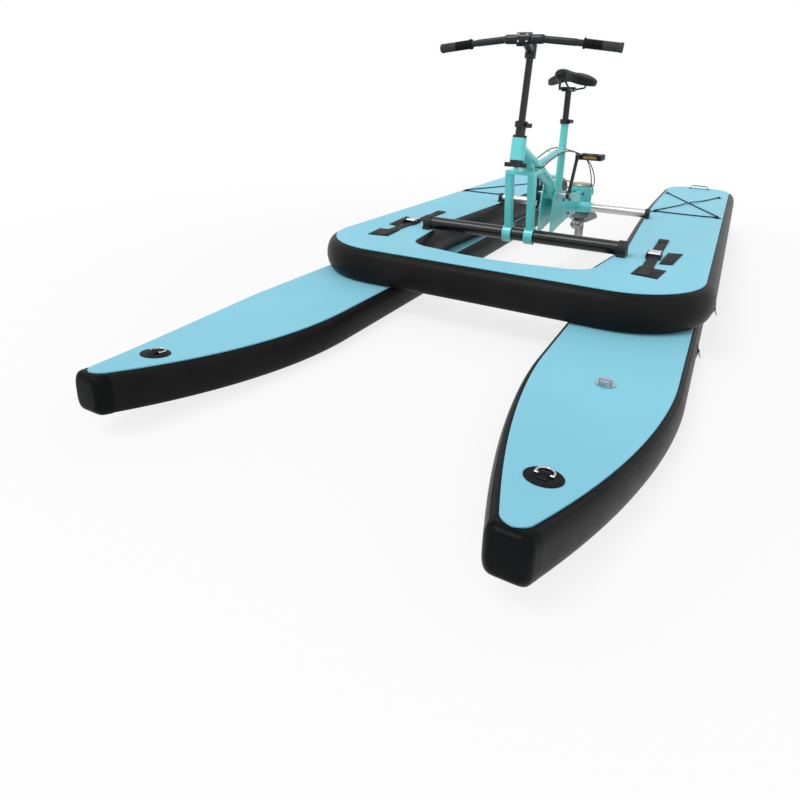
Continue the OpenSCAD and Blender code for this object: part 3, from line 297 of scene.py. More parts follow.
def turns(count):
    """Angles in equal steps round a circle."""
    return [2 * math.pi * k / count for k in range(count)]


def placed(name, data):
    made = bpy.data.objects.new(name, data)
    bpy.context.scene.collection.objects.link(made)
    return made


class Builder:
    """One mesh from several forms, with a UV pair in metres for each vertex."""

    def __init__(self):
        self.vertices, self.faces, self.uv = [], [], []

    def rings(self, rings, join=False):
        """Joins rings of equal point counts into a skin, with its ends closed, or joined to each other."""
        base, n = len(self.vertices), len(rings[0])
        travelled, before = 0.0, None
        for ring in rings:
            centre = sum((Vector(p) for p in ring), Vector()) / n
            travelled += (centre - before).length if before is not None else 0.0
            before = centre
            around = 0.0
            for i, p in enumerate(ring):
                around += (Vector(p) - Vector(ring[i - 1])).length if i else 0.0
                self.vertices.append(tuple(p))
                self.uv.append((around * MM, travelled * MM))
        count = len(rings)
        for i in range(count if join else count - 1):
            k = (i + 1) % count
            for j in range(n):
                m = (j + 1) % n
                self.faces.append((base + i * n + j, base + i * n + m, base + k * n + m, base + k * n + j))
        if not join:
            self.faces.append(tuple(base + j for j in range(n - 1, -1, -1)))
            self.faces.append(tuple(base + (count - 1) * n + j for j in range(n)))
        return self

    def tube(self, points, radius, sides, closed=False, flatten=1.0):
        """A round tube along points, or an oval one. radius is a number or one for each point."""
        points = [Vector(p) for p in points]
        radii = radius if isinstance(radius, (list, tuple)) else [radius] * len(points)
        count = len(points)
        rings, up = [], None
        for i, p in enumerate(points):
            a = points[(i - 1) % count] if closed or i else points[0]
            b = points[(i + 1) % count] if closed or i < count - 1 else points[-1]
            along = (b - a).normalized()
            if up is None:
                up = Vector((0, 0, 1)) if abs(along.z) < 0.9 else Vector((1, 0, 0))
            up = (up - along * up.dot(along)).normalized()
            side = along.cross(up)
            rings.append([p + radii[i] * (side * math.cos(t) + up * math.sin(t) * flatten)
                          for t in turns(sides)])
        self.rings(rings, join=closed)

    def lathe(self, profile, matrix, sides):
        """Turns a profile of (radius, height) points about the Z axis of matrix."""
        self.rings([[matrix @ Vector((r * math.cos(t), r * math.sin(t), z)) for t in turns(sides)]
                    for r, z in profile])

    def block(self, size, matrix, edge):
        """A box with rounded edges, centred on matrix."""
        work = bmesh.new()
        bmesh.ops.create_cube(work, size=1.0)
        bmesh.ops.scale(work, vec=size, verts=work.verts)
        bmesh.ops.bevel(work, geom=list(work.edges), offset=edge, segments=2, profile=0.6, affect="EDGES")
        base = len(self.vertices)
        work.verts.ensure_lookup_table()
        for v in work.verts:
            self.vertices.append(tuple(matrix @ v.co))
            self.uv.append((v.co.x * MM, v.co.y * MM))
        for f in work.faces:
            self.faces.append(tuple(base + v.index for v in f.verts))
        work.free()

    def mirrored(self):
        """The same form again on the other side of the centre plane."""
        base = len(self.vertices)
        self.vertices += [(-x, y, z) for x, y, z in self.vertices[:base]]
        self.uv += self.uv[:base]
        self.faces += [tuple(base + i for i in reversed(f)) for f in self.faces[:]]
        return self

    def add(self, name, material, slot, body="platform", sharp=35):
        """Makes the piece. The points are in millimetres over the datum."""
        mesh = bpy.data.meshes.new(name)
        mesh.from_pydata([(x * MM, y * MM, (z + DATUM_Z) * MM) for x, y, z in self.vertices], [], self.faces)
        layer = mesh.uv_layers.new(name="UVMap")
        for loop in mesh.loops:
            layer.data[loop.index].uv = self.uv[loop.vertex_index]
        work = bmesh.new()
        work.from_mesh(mesh)
        bmesh.ops.recalc_face_normals(work, faces=work.faces)
        work.to_mesh(mesh)
        work.free()
        mesh.polygons.foreach_set("use_smooth", [True] * len(mesh.polygons))
        mesh.set_sharp_from_angle(angle=math.radians(sharp))
        mesh.materials.append(material)
        made = placed(name, mesh)
        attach(made, body)
        return made


def at(x, y, z, turn=None):
    moved = Matrix.Translation((x, y, z))
    return moved @ turn if turn is not None else moved


def turn(angle, axis):
    return Matrix.Rotation(math.radians(angle), 4, axis)


def both_ways(half):
    """A symmetric run of pairs from its first half, which ends in the middle."""
    return half + [(-a, b) for a, b in half[-2::-1]]


def spline(a, b, c, d, t):
    """A Catmull-Rom curve between b and c."""
    return 0.5 * (2 * b + (c - a) * t + (2 * a - 5 * b + 4 * c - d) * t * t
                  + (3 * b - a - 3 * c + d) * t ** 3)


def smooth_path(points, step):
    """A curve through the points, about step millimetres between samples."""
    points = [Vector(p) for p in points]
    padded = [2 * points[0] - points[1]] + points + [2 * points[-1] - points[-2]]
    path = []
    for a, b, c, d in zip(padded, padded[1:], padded[2:], padded[3:]):
        count = max(1, round((c - b).length / step))
        path += [spline(a, b, c, d, i / count) for i in range(count)]
    return path + [points[-1]]


# Chamber outlines, as in the CAD source: s is the distance from the bow

def edge_drop(d, r):
    """How far an edge rounded at radius r has drawn back at distance d from its end."""
    return 0.0 if d >= r else r - math.sqrt(max(0.0, r * r - (r - d) ** 2))


def squared(v, power):
    return math.copysign(abs(v) ** power, v)


def pontoon_half(s):
    e = PONTOON_L - s
    taper = 1.0 if s >= TAPER_L else 1 - (1 - s / TAPER_L) ** 1.69
    tail_keep = 0.0 if e >= TAIL_L else (1 - e / TAIL_L) ** 2 * (PONTOON_HALF_W - TAIL_HALF_W)
    return (NOSE_HALF + (PONTOON_HALF_W - NOSE_HALF) * taper - edge_drop(s, NOSE_R) - tail_keep
            - edge_drop(e, TAIL_R))


def rocker(s):
    return 0.0 if s >= ROCKER_L else ROCKER_H * (1 - s / ROCKER_L) ** 2


def bow_y(s):
    return s - PONTOON_L / 2


def rail_shape(s):
    """Inner edge of the rail, half thickness, and the power that squares its section towards the bow."""
    return (pontoon_half(s) - RAIL_W, RAIL_R - edge_drop(min(s, PONTOON_L - s), LIP_R),
            1 - 0.4 * max(0.0, 1 - s / SQUARE_L) ** 1.5)


BOW_END = TAPER_L + 5
NOSE_STEPS = [0, 0.3, 0.9, 1.8, 3, 4.5, 6.5, 9, 12, 15, 18, 22, 27, 33, 40]
BOW_STEPS = [40 + (BOW_END - 40) * k / 40 for k in range(1, 41)]
MID_STEPS = [BOW_END + (PONTOON_L - TAIL_L - BOW_END) * k / 16 for k in range(1, 17)]
TAIL_STEPS = [PONTOON_L - e for e in (470, 440, 400, 350, 300, 250, 200, 160, 130, 110)]
STERN_STEPS = [PONTOON_L - e for e in (90, 75, 60, 50, 40, 32, 25, 19, 14, 10, 7, 4.5, 2.5, 1.2, 0.3, 0)]
HULL_STATIONS = NOSE_STEPS + BOW_STEPS + MID_STEPS + TAIL_STEPS + STERN_STEPS
TAPE = 0.9
TAPE_EDGE = 58
UPPER_ANGLES = [10, 19, 28, 38, 48, TAPE_EDGE, TAPE_EDGE + 1, 66, 74, 82, 90]
RAIL_ANGLES = [-a for a in reversed(UPPER_ANGLES)] + [0] + UPPER_ANGLES


def proud(angle):
    """The second layer of skin on the rail stands this far out."""
    return TAPE if abs(angle) <= TAPE_EDGE else 0.0


def hull_ring(s, x, grow, ahead=0.0):
    """A hull's outline at a station. grow gives the skin's extra thickness at an angle on the rail."""
    c, t, power = rail_shape(s)
    right, left = [], []
    for angle in RAIL_ANGLES:
        a, more = math.radians(angle), grow(angle)
        reach = c + (RAIL_W + more) * squared(math.cos(a), power)
        z = HULL_Z + rocker(s) + (t + more) * squared(math.sin(a), power)
        right.append((x + reach, bow_y(s) - ahead, z))
        left.append((x - reach, bow_y(s) - ahead, z))
    return right + left[::-1]


def hull_skin_z(px, py):
    """Height of a hull's skin over a point, px from the hull's middle."""
    s = py + PONTOON_L / 2
    c, t, power = rail_shape(s)
    u = min(1.0, max(0.0, (abs(px) - c) / RAIL_W)) ** (1 / power)
    return HULL_Z + rocker(s) + t * (1 - u * u) ** (power / 2)


NOSE_SKIN_END, NOSE_SKIN_T = 34.0, 1.3


def nose_shade_skin(x):
    """A near-black skin round the bow tip, a painted shade for the bow's front, which ends in the hull's own
    skin.
    """
    rings = [hull_ring(s, x, lambda a: NOSE_SKIN_T, NOSE_SKIN_T * max(0.0, 1 - s / 6)) for s in NOSE_STEPS
             if s < NOSE_SKIN_END]
    for ahead, thickness in ((0, NOSE_SKIN_T), (1.4, 1.0), (1.8, -0.8)):
        rings.append(hull_ring(NOSE_SKIN_END + ahead, x, lambda a: thickness))
    return rings


PAD_START, PAD_NOSE_R, PAD_END = 16, 24, PONTOON_L - 40


def pad_half(s):
    return max(1.0, pontoon_half(s) - RAIL_W - edge_drop(s - PAD_START, PAD_NOSE_R)
               - edge_drop(PAD_END - s, TAIL_R))


PAD_STATIONS = ([PAD_START + d for d in (0.4, 0.8, 1.5, 2.6, 4, 6, 8.5, 11.5, 15, 19, PAD_NOSE_R)] + BOW_STEPS
                + MID_STEPS + TAIL_STEPS
                + [PAD_END - e for e in (60, 50, 40, 31, 23, 16, 10.5, 6, 3, 1.2, 0.4)])
PAD_EDGE = [(0, 0), (0, 3.0), (-0.3, 3.9), (-1.9, 5.0)]


def pad_ring(s, x):
    w, z = pad_half(s), CHAMBER_T + GAP - DATUM_Z + rocker(s)
    shrink = min(1.0, w / 6)
    edge = [(w + px * shrink, pz) for px, pz in PAD_EDGE] + [(w * 0.5, PAD_T)]
    right = [(x + px, bow_y(s), z + pz) for px, pz in edge]
    left = [(x - px, bow_y(s), z + pz) for px, pz in reversed(edge)]
    return right + left


SEAM_W = 5.5


def seam(builder, outline, out, height, x=0.0):
    """A narrow welt round a pad. height gives the skin's height over a point of the plan."""
    rings = []
    for p, o in zip(outline, out):
        ring = []
        for reach, lift in ((-0.6, -1), (-0.6, 1), (SEAM_W - 1.2, 1), (SEAM_W, 0.3), (SEAM_W, -1)):
            q = p + o * reach
            ring.append((x + q.x, q.y, height(p, q, max(0.0, reach)) + lift))
        rings.append(ring)
    builder.rings(rings, join=True)


def outward(points):
    """Directions out of an outline that runs anticlockwise."""
    made = []
    for i in range(len(points)):
        d = (points[(i + 1) % len(points)] - points[i - 1]).normalized()
        made.append(Vector((d.y, -d.x)))
    return made


seams = Builder()


def pontoon(side, label):
    x = side * PONTOON_X
    hull = Builder().rings([hull_ring(s, x, proud if 4 < s < PONTOON_L - 4 else lambda a: 0.0)
                            for s in HULL_STATIONS]).add(label + "_hull_skin", PVC, "black_pvc", sharp=50)
    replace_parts(hull, label + "_pontoon")
    # The bow skin's near-black colour is a painted shade.
    Builder().rings(nose_shade_skin(x)).add(label + "_nose_shade_skin", PVC_NOSE_SHADE, "black_pvc", sharp=60)
    pad = Builder().rings([pad_ring(s, x) for s in PAD_STATIONS]).add(
        label + "_pad_foam", FOAM, "blue_foam", sharp=28)
    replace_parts(pad, label + "_pontoon_pad")
    edge = [Vector((pad_half(s), bow_y(s))) for s in PAD_STATIONS]
    edge += [Vector((-p.x, p.y)) for p in reversed(edge)]
    seam(seams, edge, outward(edge), lambda p, q, reach: hull_skin_z(q.x, q.y), x)


pontoon(1, "port")
pontoon(-1, "starboard")

# Deck outline: inner and outer edges of the port half, from the stern forward

DECK_HALF, DECK_FRONT, DECK_REAR, FRONT_R, REAR_R = 695, 775, 1820, 265, 150
ARM_EDGE = [(346, 1471), (347, 997), (354, 748), (363, 500), (372, 286), (385, 9), (391, -171), (370, -365)]
WELL_CORNER, WELL_R, WELL_FRONT = (246, -516), 105, [(120, -645), (0, -655)]
ARC_STEPS = 24


def arc(x, y, r, a0, a1):
    angles = [math.radians(a0 + (a1 - a0) * k / ARC_STEPS) for k in range(ARC_STEPS + 1)]
    return [(x + r * math.cos(a), y + r * math.sin(a)) for a in angles]


def refined(points, longest=70.0):
    """The same outline with points added along its longer edges."""
    made = []
    for a, b in zip(points, points[1:] + points[:1]):
        a, b = Vector(a), Vector(b)
        count = max(1, math.ceil((b - a).length / longest))
        made += [a + (b - a) * i / count for i in range(count)]
    return made


outer_half = (arc(DECK_HALF - REAR_R, DECK_REAR - REAR_R, REAR_R, 90, 0)
              + arc(DECK_HALF - FRONT_R, FRONT_R - DECK_FRONT, FRONT_R, 0, -90) + [(0, -DECK_FRONT)])
inner_half = (arc(ARM_EDGE[0][0] + REAR_R, DECK_REAR - REAR_R, REAR_R, 90, 180)
              + [(p.x, p.y) for p in smooth_path([(x, y, 0) for x, y in ARM_EDGE], 60)]
              + arc(*WELL_CORNER, WELL_R, 0, -90) + WELL_FRONT)
deck_outline = refined(both_ways(inner_half) + both_ways(outer_half)[::-1])
deck_out = outward(deck_outline)


def deck_level(reach, z):
    return [(p.x + o.x * reach, p.y + o.y * reach, z) for p, o in zip(deck_outline, deck_out)]


deck_rings = []
for a in reversed(RAIL_ANGLES):
    t = math.radians(a)
    deck_rings.append(deck_level((DECK_RAIL_W + proud(a)) * math.cos(t),
                                 DECK_Z + DECK_T / 2 + (DECK_T / 2 + proud(a)) * math.sin(t)))
deck_skin = Builder().rings(deck_rings).add("deck_skin", PVC, "black_pvc", sharp=50)
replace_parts(deck_skin, "deck_chamber")
deck_foam = Builder().rings([deck_level(reach, DECK_PAD_Z + z) for reach, z in PAD_EDGE]).add(
    "deck_foam", FOAM, "blue_foam", sharp=28)
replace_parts(deck_foam, "deck_pad")
seam(seams, deck_outline, deck_out,
     lambda p, q, reach: DECK_Z + DECK_T / 2 * (1 + math.sqrt(1 - (reach / DECK_RAIL_W) ** 2)))
# The welts' dark navy is partly a painted shade along the pads' edges.
seams.add("pad_edge_seams", SEAM_AND_SHADE, "black_pvc", sharp=40)


# Patches, straps, handles and cords on the deck

def stitches(builder, points, length=5.0, space=3.0, radius=0.35):
    """A line of thread stitches lying on a surface along the points."""
    points = [Vector(p) for p in points]
    for a, b in zip(points, points[1:]):
        count = max(1, round((b - a).length / (length + space)))
        for i in range(count):
            start = a + (b - a) * ((i + 0.2) / count)
            end = a + (b - a) * ((i + 0.2 + length / (length + space)) / count)
            lift = Vector((0, 0, radius * 0.8))
            builder.tube([start, start.lerp(end, 0.2) + lift, start.lerp(end, 0.8) + lift, end], radius, 6)


PATCH_T, TOW_S = 2, 200


def patch_rings(points):
    """A flat patch with eased top edges, from an outline that runs anticlockwise."""
    out = outward(points)
    return [[(p.x + o.x * reach, p.y + o.y * reach, PATCH_Z + h) for p, o in zip(points, out)]
            for reach, h in ((0, 0), (0, PATCH_T - 0.8), (-0.32, PATCH_T - 0.24), (-1.12, PATCH_T))]


def at_tow(side):
    tilt = 2 * ROCKER_H * (1 - TOW_S / ROCKER_L) / ROCKER_L
    return at(side * PONTOON_X, bow_y(TOW_S), PONTOON_TOP + rocker(TOW_S) + GAP,
              Matrix.Rotation(-tilt, 4, "X"))


tow, tow_marks = Builder(), Builder()
for side in (1, -1):
    place = at_tow(side)
    tow.lathe([(38, 0), (38, 1.2), (37.2, 1.9), (35.5, 2.2), (33.6, 2.2), (33.0, 1.7), (31.6, 1.7),
               (31.0, 2.6), (26, 2.9), (0.01, 3.0)], place, 64)
    arch = both_ways([(-18, 2.7), (-13, 3.2), (-9.0, 4.3), (-6.2, 6.2), (-3.6, 8.4), (0, 9.1)])
    tow.rings([[place @ Vector((x * 11, y, z + lift)) for x, lift in
                ((-1, 0), (-1, 1.4), (-0.9, 1.9), (0.9, 1.9), (1, 1.4), (1, 0))] for y, z in arch])
    for y in (-16.5, 16.5):
        stitches(tow_marks, [place @ Vector((-9.5, y, 4.8)), place @ Vector((9.5, y, 4.8))])
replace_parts(tow.add("tow_patch_skins", PATCH, "black_pvc"), "tow_patches")
tow_marks.add("tow_stitches", THREAD, "black_webbing")

CARGO_POINTS = [(368, 1410), (648, 1410), (378, 708), (672, 712)]
cargo, loops = Builder(), Builder()
for x, y in CARGO_POINTS:
    cargo.lathe([(18, 0), (18, 1.2), (17.4, 1.7), (16, 1.95), (0.01, 2.0)], at(x, y, PATCH_Z), 40)
    arch = both_ways([(-11, 2.6), (-8, 5), (-4.4, 8.6), (0, 9.9)])
    loops.tube(smooth_path([(x, y + aft, PATCH_Z + up) for aft, up in arch], 2), 1.0, 8)
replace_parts(cargo.mirrored().add("cargo_patch_skins", PATCH, "black_pvc"), "cargo_patches")
loops.mirrored().add("cargo_loops", WEBBING, "black_webbing")

CARGO_ROUTE = [
    (365, 1415, 216.4), (385, 1370, 215), (440, 1250, 214.2), (500, 1115, 214), (522, 1068, 214),
    (545, 1015, 214), (620, 850, 214.2), (665, 745, 216), (674, 718, 216.4), (660, 705, 216.4),
    (600, 702, 214.4), (450, 702, 214.4), (392, 704, 216.4), (380, 718, 216.4), (388, 745, 216),
    (430, 860, 214.3), (480, 975, 217), (505, 1035, 220.4), (521, 1068, 220.8), (536, 1105, 220.4),
    (562, 1175, 217), (600, 1280, 214.3), (640, 1385, 216), (650, 1415, 216.4)]
bungee = Builder()
bungee.tube(smooth_path(CARGO_ROUTE, 6), 3.0, 12)
for x, y, z in (CARGO_ROUTE[0], CARGO_ROUTE[-1]):
    bungee.lathe([(3.1, -2), (4.4, -1), (4.6, 3), (3.6, 5.6), (0.01, 6.2)], at(x, y, z, turn(-90, "X")), 20)
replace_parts(bungee.mirrored().add("cargo_cords", CORD, "black_webbing"), "bungee_cords")

STRAP_X, STRAP_W, STRAP_T, BUCKLE_Y, BUCKLE_L = 504, 38, 2, -290, 74
STRAP_START, STRAP_END = -560, 10
STRAP_Z = PATCH_Z + PATCH_T + GAP
patches, strap_marks = Builder(), Builder()
PATCH_A = [(466, -564), (478, -442), (566, -456), (552, -578)]
PATCH_B = [(532, -378), (542, -186), (594, -172), (576, -364)]
for corners in (PATCH_A, PATCH_B):
    patches.rings(patch_rings(refined(corners[::-1], 20)))
    middle = sum((Vector(p) for p in corners), Vector((0, 0))) / 4
    inset = [Vector(p).lerp(middle, 0.12) for p in corners]
    stitches(strap_marks, [(p.x, p.y, PATCH_Z + PATCH_T) for p in inset + inset[:1]])
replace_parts(patches.mirrored().add("strap_patch_skins", PATCH, "black_pvc"), "strap_patches")


def band(builder, path, width, thickness, across=(1, 0, 0)):
    """A flat strap along a path, its width across and its thickness upwards from the path."""
    across = Vector(across)
    path = [Vector(p) for p in path]
    rings = []
    for i, p in enumerate(path):
        along = (path[min(i + 1, len(path) - 1)] - path[max(i - 1, 0)]).normalized()
        up = across.cross(along).normalized()
        h, edge = width / 2, min(0.6, thickness * 0.3)
        rings.append([p + across * u + up * v for u, v in (
            (-h, edge), (-h, thickness - edge), (-h + edge, thickness), (h - edge, thickness),
            (h, thickness - edge), (h, edge), (h - edge, 0), (-h + edge, 0))])
    builder.rings(rings)


straps = Builder()


def strap(points, fold=False):
    """A webbing strap from distances aft and heights over the patches."""
    path = [(STRAP_X, y, STRAP_Z + z) for y, z in points]
    band(straps, smooth_path(path, 2) if fold else path, STRAP_W, STRAP_T)


def ripple(y0, y1, rate):
    """The line of a strap that lies almost flat."""
    return [(y0 + (y1 - y0) * k / 14, 0.12 * math.sin(k * rate)) for k in range(15)]


strap(ripple(STRAP_START, BUCKLE_Y - BUCKLE_L / 2, 1.3))
strap(ripple(BUCKLE_Y + BUCKLE_L / 2, STRAP_END, 1.7))
strap([(STRAP_END, 0), (24, 0), (31.2, 1.2), (32.0, 3.0), (29, 4.0)], fold=True)
strap([(-26, 2.1), (0, 2.2), (28, 2.4)])
for y0, y1 in ((-552, -506), (-20, 20)):
    z = STRAP_Z + (2 if y0 < -100 else 4.2)
    corners = [(STRAP_X + x, y, z) for x, y in ((-15, y0), (15, y0), (15, y1), (-15, y1))]
    for line in (corners + corners[:1], corners[::2], corners[1::2]):
        stitches(strap_marks, line)

HANDLE_X, HANDLE_Y = 520, 1745
grip = Builder()
for s in (-1, 1):
    foot = [(HANDLE_X + s * x, HANDLE_Y, PATCH_Z + z) for x, z in ((60, 0), (52, 0), (48.6, 0.8), (48, 3.4))]
    band(straps, foot, 32, 1.8, (0, 1 if s < 0 else -1, 0))
    stitches(strap_marks, [(HANDLE_X + s * 56, HANDLE_Y + y, PATCH_Z + 1.9) for y in (-13, 13)])
arch = smooth_path([(HANDLE_X + x, HANDLE_Y, PATCH_Z + z) for x, z in both_ways(
    [(-48, 1.2), (-48, 8), (-46, 15), (-38, 19.4), (-20, 19.6), (0, 19.7)])], 4)
band(straps, [p - Vector((0, 0, 0.8)) for p in arch], 26, 1.6, (0, -1, 0))
sleeve = both_ways([(-36, 9), (-34, 11.5), (-30, 13), (-15, 13.3), (0, 13.4)])
grip.tube([(HANDLE_X + x, HANDLE_Y, PATCH_Z + 19.6) for x, r in sleeve], [r for x, r in sleeve], 20,
          flatten=0.17)
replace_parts(straps.mirrored().add("strap_webbing", WEBBING, "black_webbing"), "webbing")
strap_marks.mirrored().add("strap_stitches", THREAD, "black_webbing")
grip.mirrored().add("handle_sleeves", RUBBER, "black_rubber")

# Lashing rings on the side rails, each a ring in a loop on a round patch
RING_PATCH_R = 22


def rail_ring(y, z, reach_at):
    """reach_at gives how far the rail's skin is from the centre plane."""
    rings = []
    for r, lift in ((RING_PATCH_R, 0.1), (RING_PATCH_R - 0.4, 1), (RING_PATCH_R - 2, 1.6), (14, 1.6),
                    (5, 1.6), (0.05, 1.6)):
        circle = [(y + r * math.cos(a), z + r * math.sin(a)) for a in turns(36)]
        rings.append([(reach_at(*p) + lift, *p) for p in circle])
    rail_patches.rings(rings)
    reach = reach_at(y, z)
    rail_patches.rings([[(reach + px, y + py, z + pz) for px, pz in (
        (1.2, -7), (3.2, -6), (5.8, -1.5), (6.0, 1.5), (3.2, 6), (1.2, 7), (0.4, 0))] for py in (-7, 7)])
    ring = both_ways([(-11, 0), (-11, 4), (-9.5, 12), (-5, 17.5), (0, 19)])
    ring += [(u, 0) for u in (5, 0, -5, -11)]
    rail_rings.tube(smooth_path([(reach + 4.2 + v * 0.35, y + u, z - v) for u, v in ring], 2), 1.8, 8)


def hull_reach(y, z):
    s = y + PONTOON_L / 2
    c, t, power = rail_shape(s)
    v = min(1.0, abs(z - HULL_Z - rocker(s)) / t) ** (1 / power)
    return PONTOON_X + c + (RAIL_W + TAPE) * (1 - v * v) ** (power / 2)


def deck_reach(y, z):
    """For the deck's straight sides and the first degrees of its front corners."""
    v = (z - DECK_Z - DECK_T / 2) / (DECK_T / 2)
    ahead = min(0.0, y - FRONT_R + DECK_FRONT)
    corner = FRONT_R - math.sqrt(FRONT_R ** 2 - ahead ** 2)
    return DECK_HALF - corner + (DECK_RAIL_W + TAPE) * math.sqrt(1 - v * v)


rail_patches, rail_rings = Builder(), Builder()
for y in (-670, -240, 900):
    rail_ring(y, HULL_Z + 4 + rocker(y + PONTOON_L / 2), hull_reach)
rail_ring(-500, DECK_Z + 40, deck_reach)
rail_patches.mirrored().add("rail_patches", PATCH, "black_pvc")
rail_rings.mirrored().add("rail_rings", STEEL, "steel")


# Chain of links on its two wheels
LINK_END_R, LINK_WAIST, LINK_T, INNER_PLATE_X, OUTER_PLATE_X = 3.6, 2.6, 0.65, 2.05, 2.75


def pitch_radius(teeth):
    return LINK_PITCH / 2 / math.sin(math.pi / teeth)


def chain_points():
    """The pins along the loop, as distances aft and heights."""
    r1, r2 = pitch_radius(RING_TEETH), pitch_radius(SPROCKET_TEETH)
    c1, c2 = Vector((CRANK_Y, CRANK_Z)), Vector((LEG_Y, INPUT_Z))
    span = c2 - c1
    lean = math.atan2(span.y, span.x)
    spread = math.acos((r1 - r2) / span.length)
    line = math.sqrt(span.length ** 2 - (r1 - r2) ** 2)
    arc1, arc2 = r1 * (2 * math.pi - 2 * spread), r2 * 2 * spread
    total = 2 * line + arc1 + arc2
    count = 2 * round(total / LINK_PITCH / 2)

    def on(c, r, t):
        return c + Vector((math.cos(t), math.sin(t))) * r

    points = []
    for i in range(count):
        d = total * i / count
        if d < arc1:
            points.append(on(c1, r1, lean + spread + d / r1))
            continue
        d -= arc1
        if d < line:
            points.append(on(c1, r1, lean - spread).lerp(on(c2, r2, lean - spread), d / line))
            continue
        d -= line
        if d < arc2:
            points.append(on(c2, r2, lean - spread + d / r2))
            continue
        points.append(on(c2, r2, lean + spread).lerp(on(c1, r1, lean + spread), (d - arc2) / line))
    return points


def link_plate(a, b, x):
    """One figure-of-eight side plate between two pins."""
    along = (b - a).normalized()
    side = Vector((-along.y, along.x))
    middle, half = (a + b) / 2, (b - a).length / 2
    outline = []
    for end in (1, -1):
        for k in range(7):
            t = math.radians(-75 + 150 * k / 6)
            reach = half + LINK_END_R * math.cos(t)
            outline.append(middle + along * end * reach + side * end * LINK_END_R * math.sin(t))
        outline.append(middle + side * end * LINK_WAIST)
    chain.rings([[(x + e, p.x, p.y) for p in outline] for e in (-LINK_T / 2, LINK_T / 2)])


chain = Builder()
pins = chain_points()
for i, a in enumerate(pins):
    b = pins[(i + 1) % len(pins)]
    for side in (-1, 1):
        link_plate(a, b, CHAIN_X + side * (INNER_PLATE_X if i % 2 else OUTER_PLATE_X))
    chain.tube([(CHAIN_X - 1.6, a.x, a.y), (CHAIN_X + 1.6, a.x, a.y)], 3.3, 12)
    chain.tube([(CHAIN_X - 3.4, a.x, a.y), (CHAIN_X + 3.4, a.x, a.y)], 1.5, 8)
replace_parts(chain.add("chain_links", CHAIN, "chain_steel", sharp=40), "chain")

# Steering cables with their end ferrules
PORT_CABLE = [
    (32, -338, 500), (32, -300, 500), (31.5, -262, 497), (31, -220, 491), (30, -170, 493), (30, -110, 505),
    (32, -40, 516), (34, 30, 525), (38, 100, 530), (42, 180, 529), (46, 260, 519), (49, 340, 505),
    (51, 420, 489), (54, 500, 465), (57, 570, 424), (58, 625, 376), (57, 662, 334), (54, 677.5, 306),
    (54, 678, 296), (54, 678, 286)]
STARBOARD_CABLE = [(-x, y, z) for x, y, z in PORT_CABLE[:8]] + [
    (-37, 100, 532), (-38, 170, 536), (-32, 240, 535), (-14, 310, 526), (10, 380, 512), (32, 450, 494),
    (49, 520, 468), (60, 600, 424), (64, 665, 376), (62, 712, 334), (55, 729, 308), (54, 730, 296),
    (54, 730, 286)]
CABLE_R, STOP_Z, CLIP_AT = 2.5, 292.4, 8
cables, ferrules = Builder(), Builder()
for route in (PORT_CABLE, STARBOARD_CABLE):
    cables.tube(smooth_path(route, 6), CABLE_R, 12)
    ferrules.lathe([(2.6, 0), (4.6, 0.2), (4.8, 9), (4.2, 10), (3.6, 10.5), (3.4, 16), (2.7, 17), (2.4, 17)],
                   at(*route[-1][:2], STOP_Z), 24)
    x, y, z = route[0]
    ferrules.lathe([(2.6, 0), (4.4, 0.2), (4.4, 8), (3.4, 11), (2.4, 12)],
                   at(x, y + 8.3, z, turn(-90, "X")), 24)
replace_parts(cables.add("cable_housings", BLACK_PLASTIC, "black_plastic"), "steering_cables")
ferrules.add("cable_ferrules", STEEL, "steel")


# Handlebar grips with their rings and ribs
def head(x, y, z):
    """A point of the steering head's own frame, whose Z is the steering axis."""
    c, s = math.cos(STEER_TILT), math.sin(STEER_TILT)
    return Vector((x, HEAD_Y + y * c + z * s, HEAD_Z - y * s + z * c))


STEM_TOP, STEM_REACH, STEM_RISE, BAR_HALF, BAR_SWEEP_L = 392, 84, 12, 321, 150
bar_centre = head(0, -STEM_REACH, STEM_TOP + STEM_RISE)


def grip_point(x):
    part = (x - (BAR_HALF - BAR_SWEEP_L)) / BAR_SWEEP_L
    return bar_centre + Vector((x, 10 + 18 * part, -10 - 17 * part))


def pointing(a, b):
    """A matrix at a whose Z runs towards b."""
    return at(*a) @ (b - a).to_track_quat("Z", "Y").to_matrix().to_4x4()


GRIP_IN = BAR_HALF - 116
grips = Builder()
inner, outer = grip_point(GRIP_IN - 6), grip_point(BAR_HALF + 4)
length = (outer - inner).length
profile = [(11.3, 0), (17.4, 0.4), (18.0, 1.6), (18.0, 6), (17.2, 7.4), (14.7, 8)]
rib = 10.5
while rib < length - 14:
    profile += [(14.7, rib), (15.9, rib + 0.6), (15.9, rib + 2.4), (14.7, rib + 3.0)]
    rib += 4.4
profile += [(14.7, length - 11), (16.2, length - 10), (16.6, length - 3), (15.6, length - 0.8),
            (14.0, length), (0.01, length)]
grips.lathe(profile, pointing(inner, outer), 36)
sleeves = grips.mirrored().add("grip_sleeves", RUBBER, "black_rubber", body="handlebar_post", sharp=50)
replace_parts(sleeves, "grips")
sleeves.data.materials.append(GREY_RUBBER)
for face in sleeves.data.polygons:
    face.material_index = 1 if abs(face.center.x) > (GRIP_IN + 0.45 * length) * MM else 0

# Saddle: a padded cover with a hollow down its middle
SADDLE_Z = 812
SADDLE_SECTIONS = [
    (38, 13, 38, 20), (48, 23, 45, 36), (80, 28, 48, 46), (120, 33, 45, 50), (160, 48, 41, 52),
    (195, 76, 38, 52), (225, 98, 38, 50), (258, 108, 39, 50), (288, 100, 40, 46), (304, 70, 37, 34)]
SADDLE_DROOP, SADDLE_POWER = 0.22, 0.7


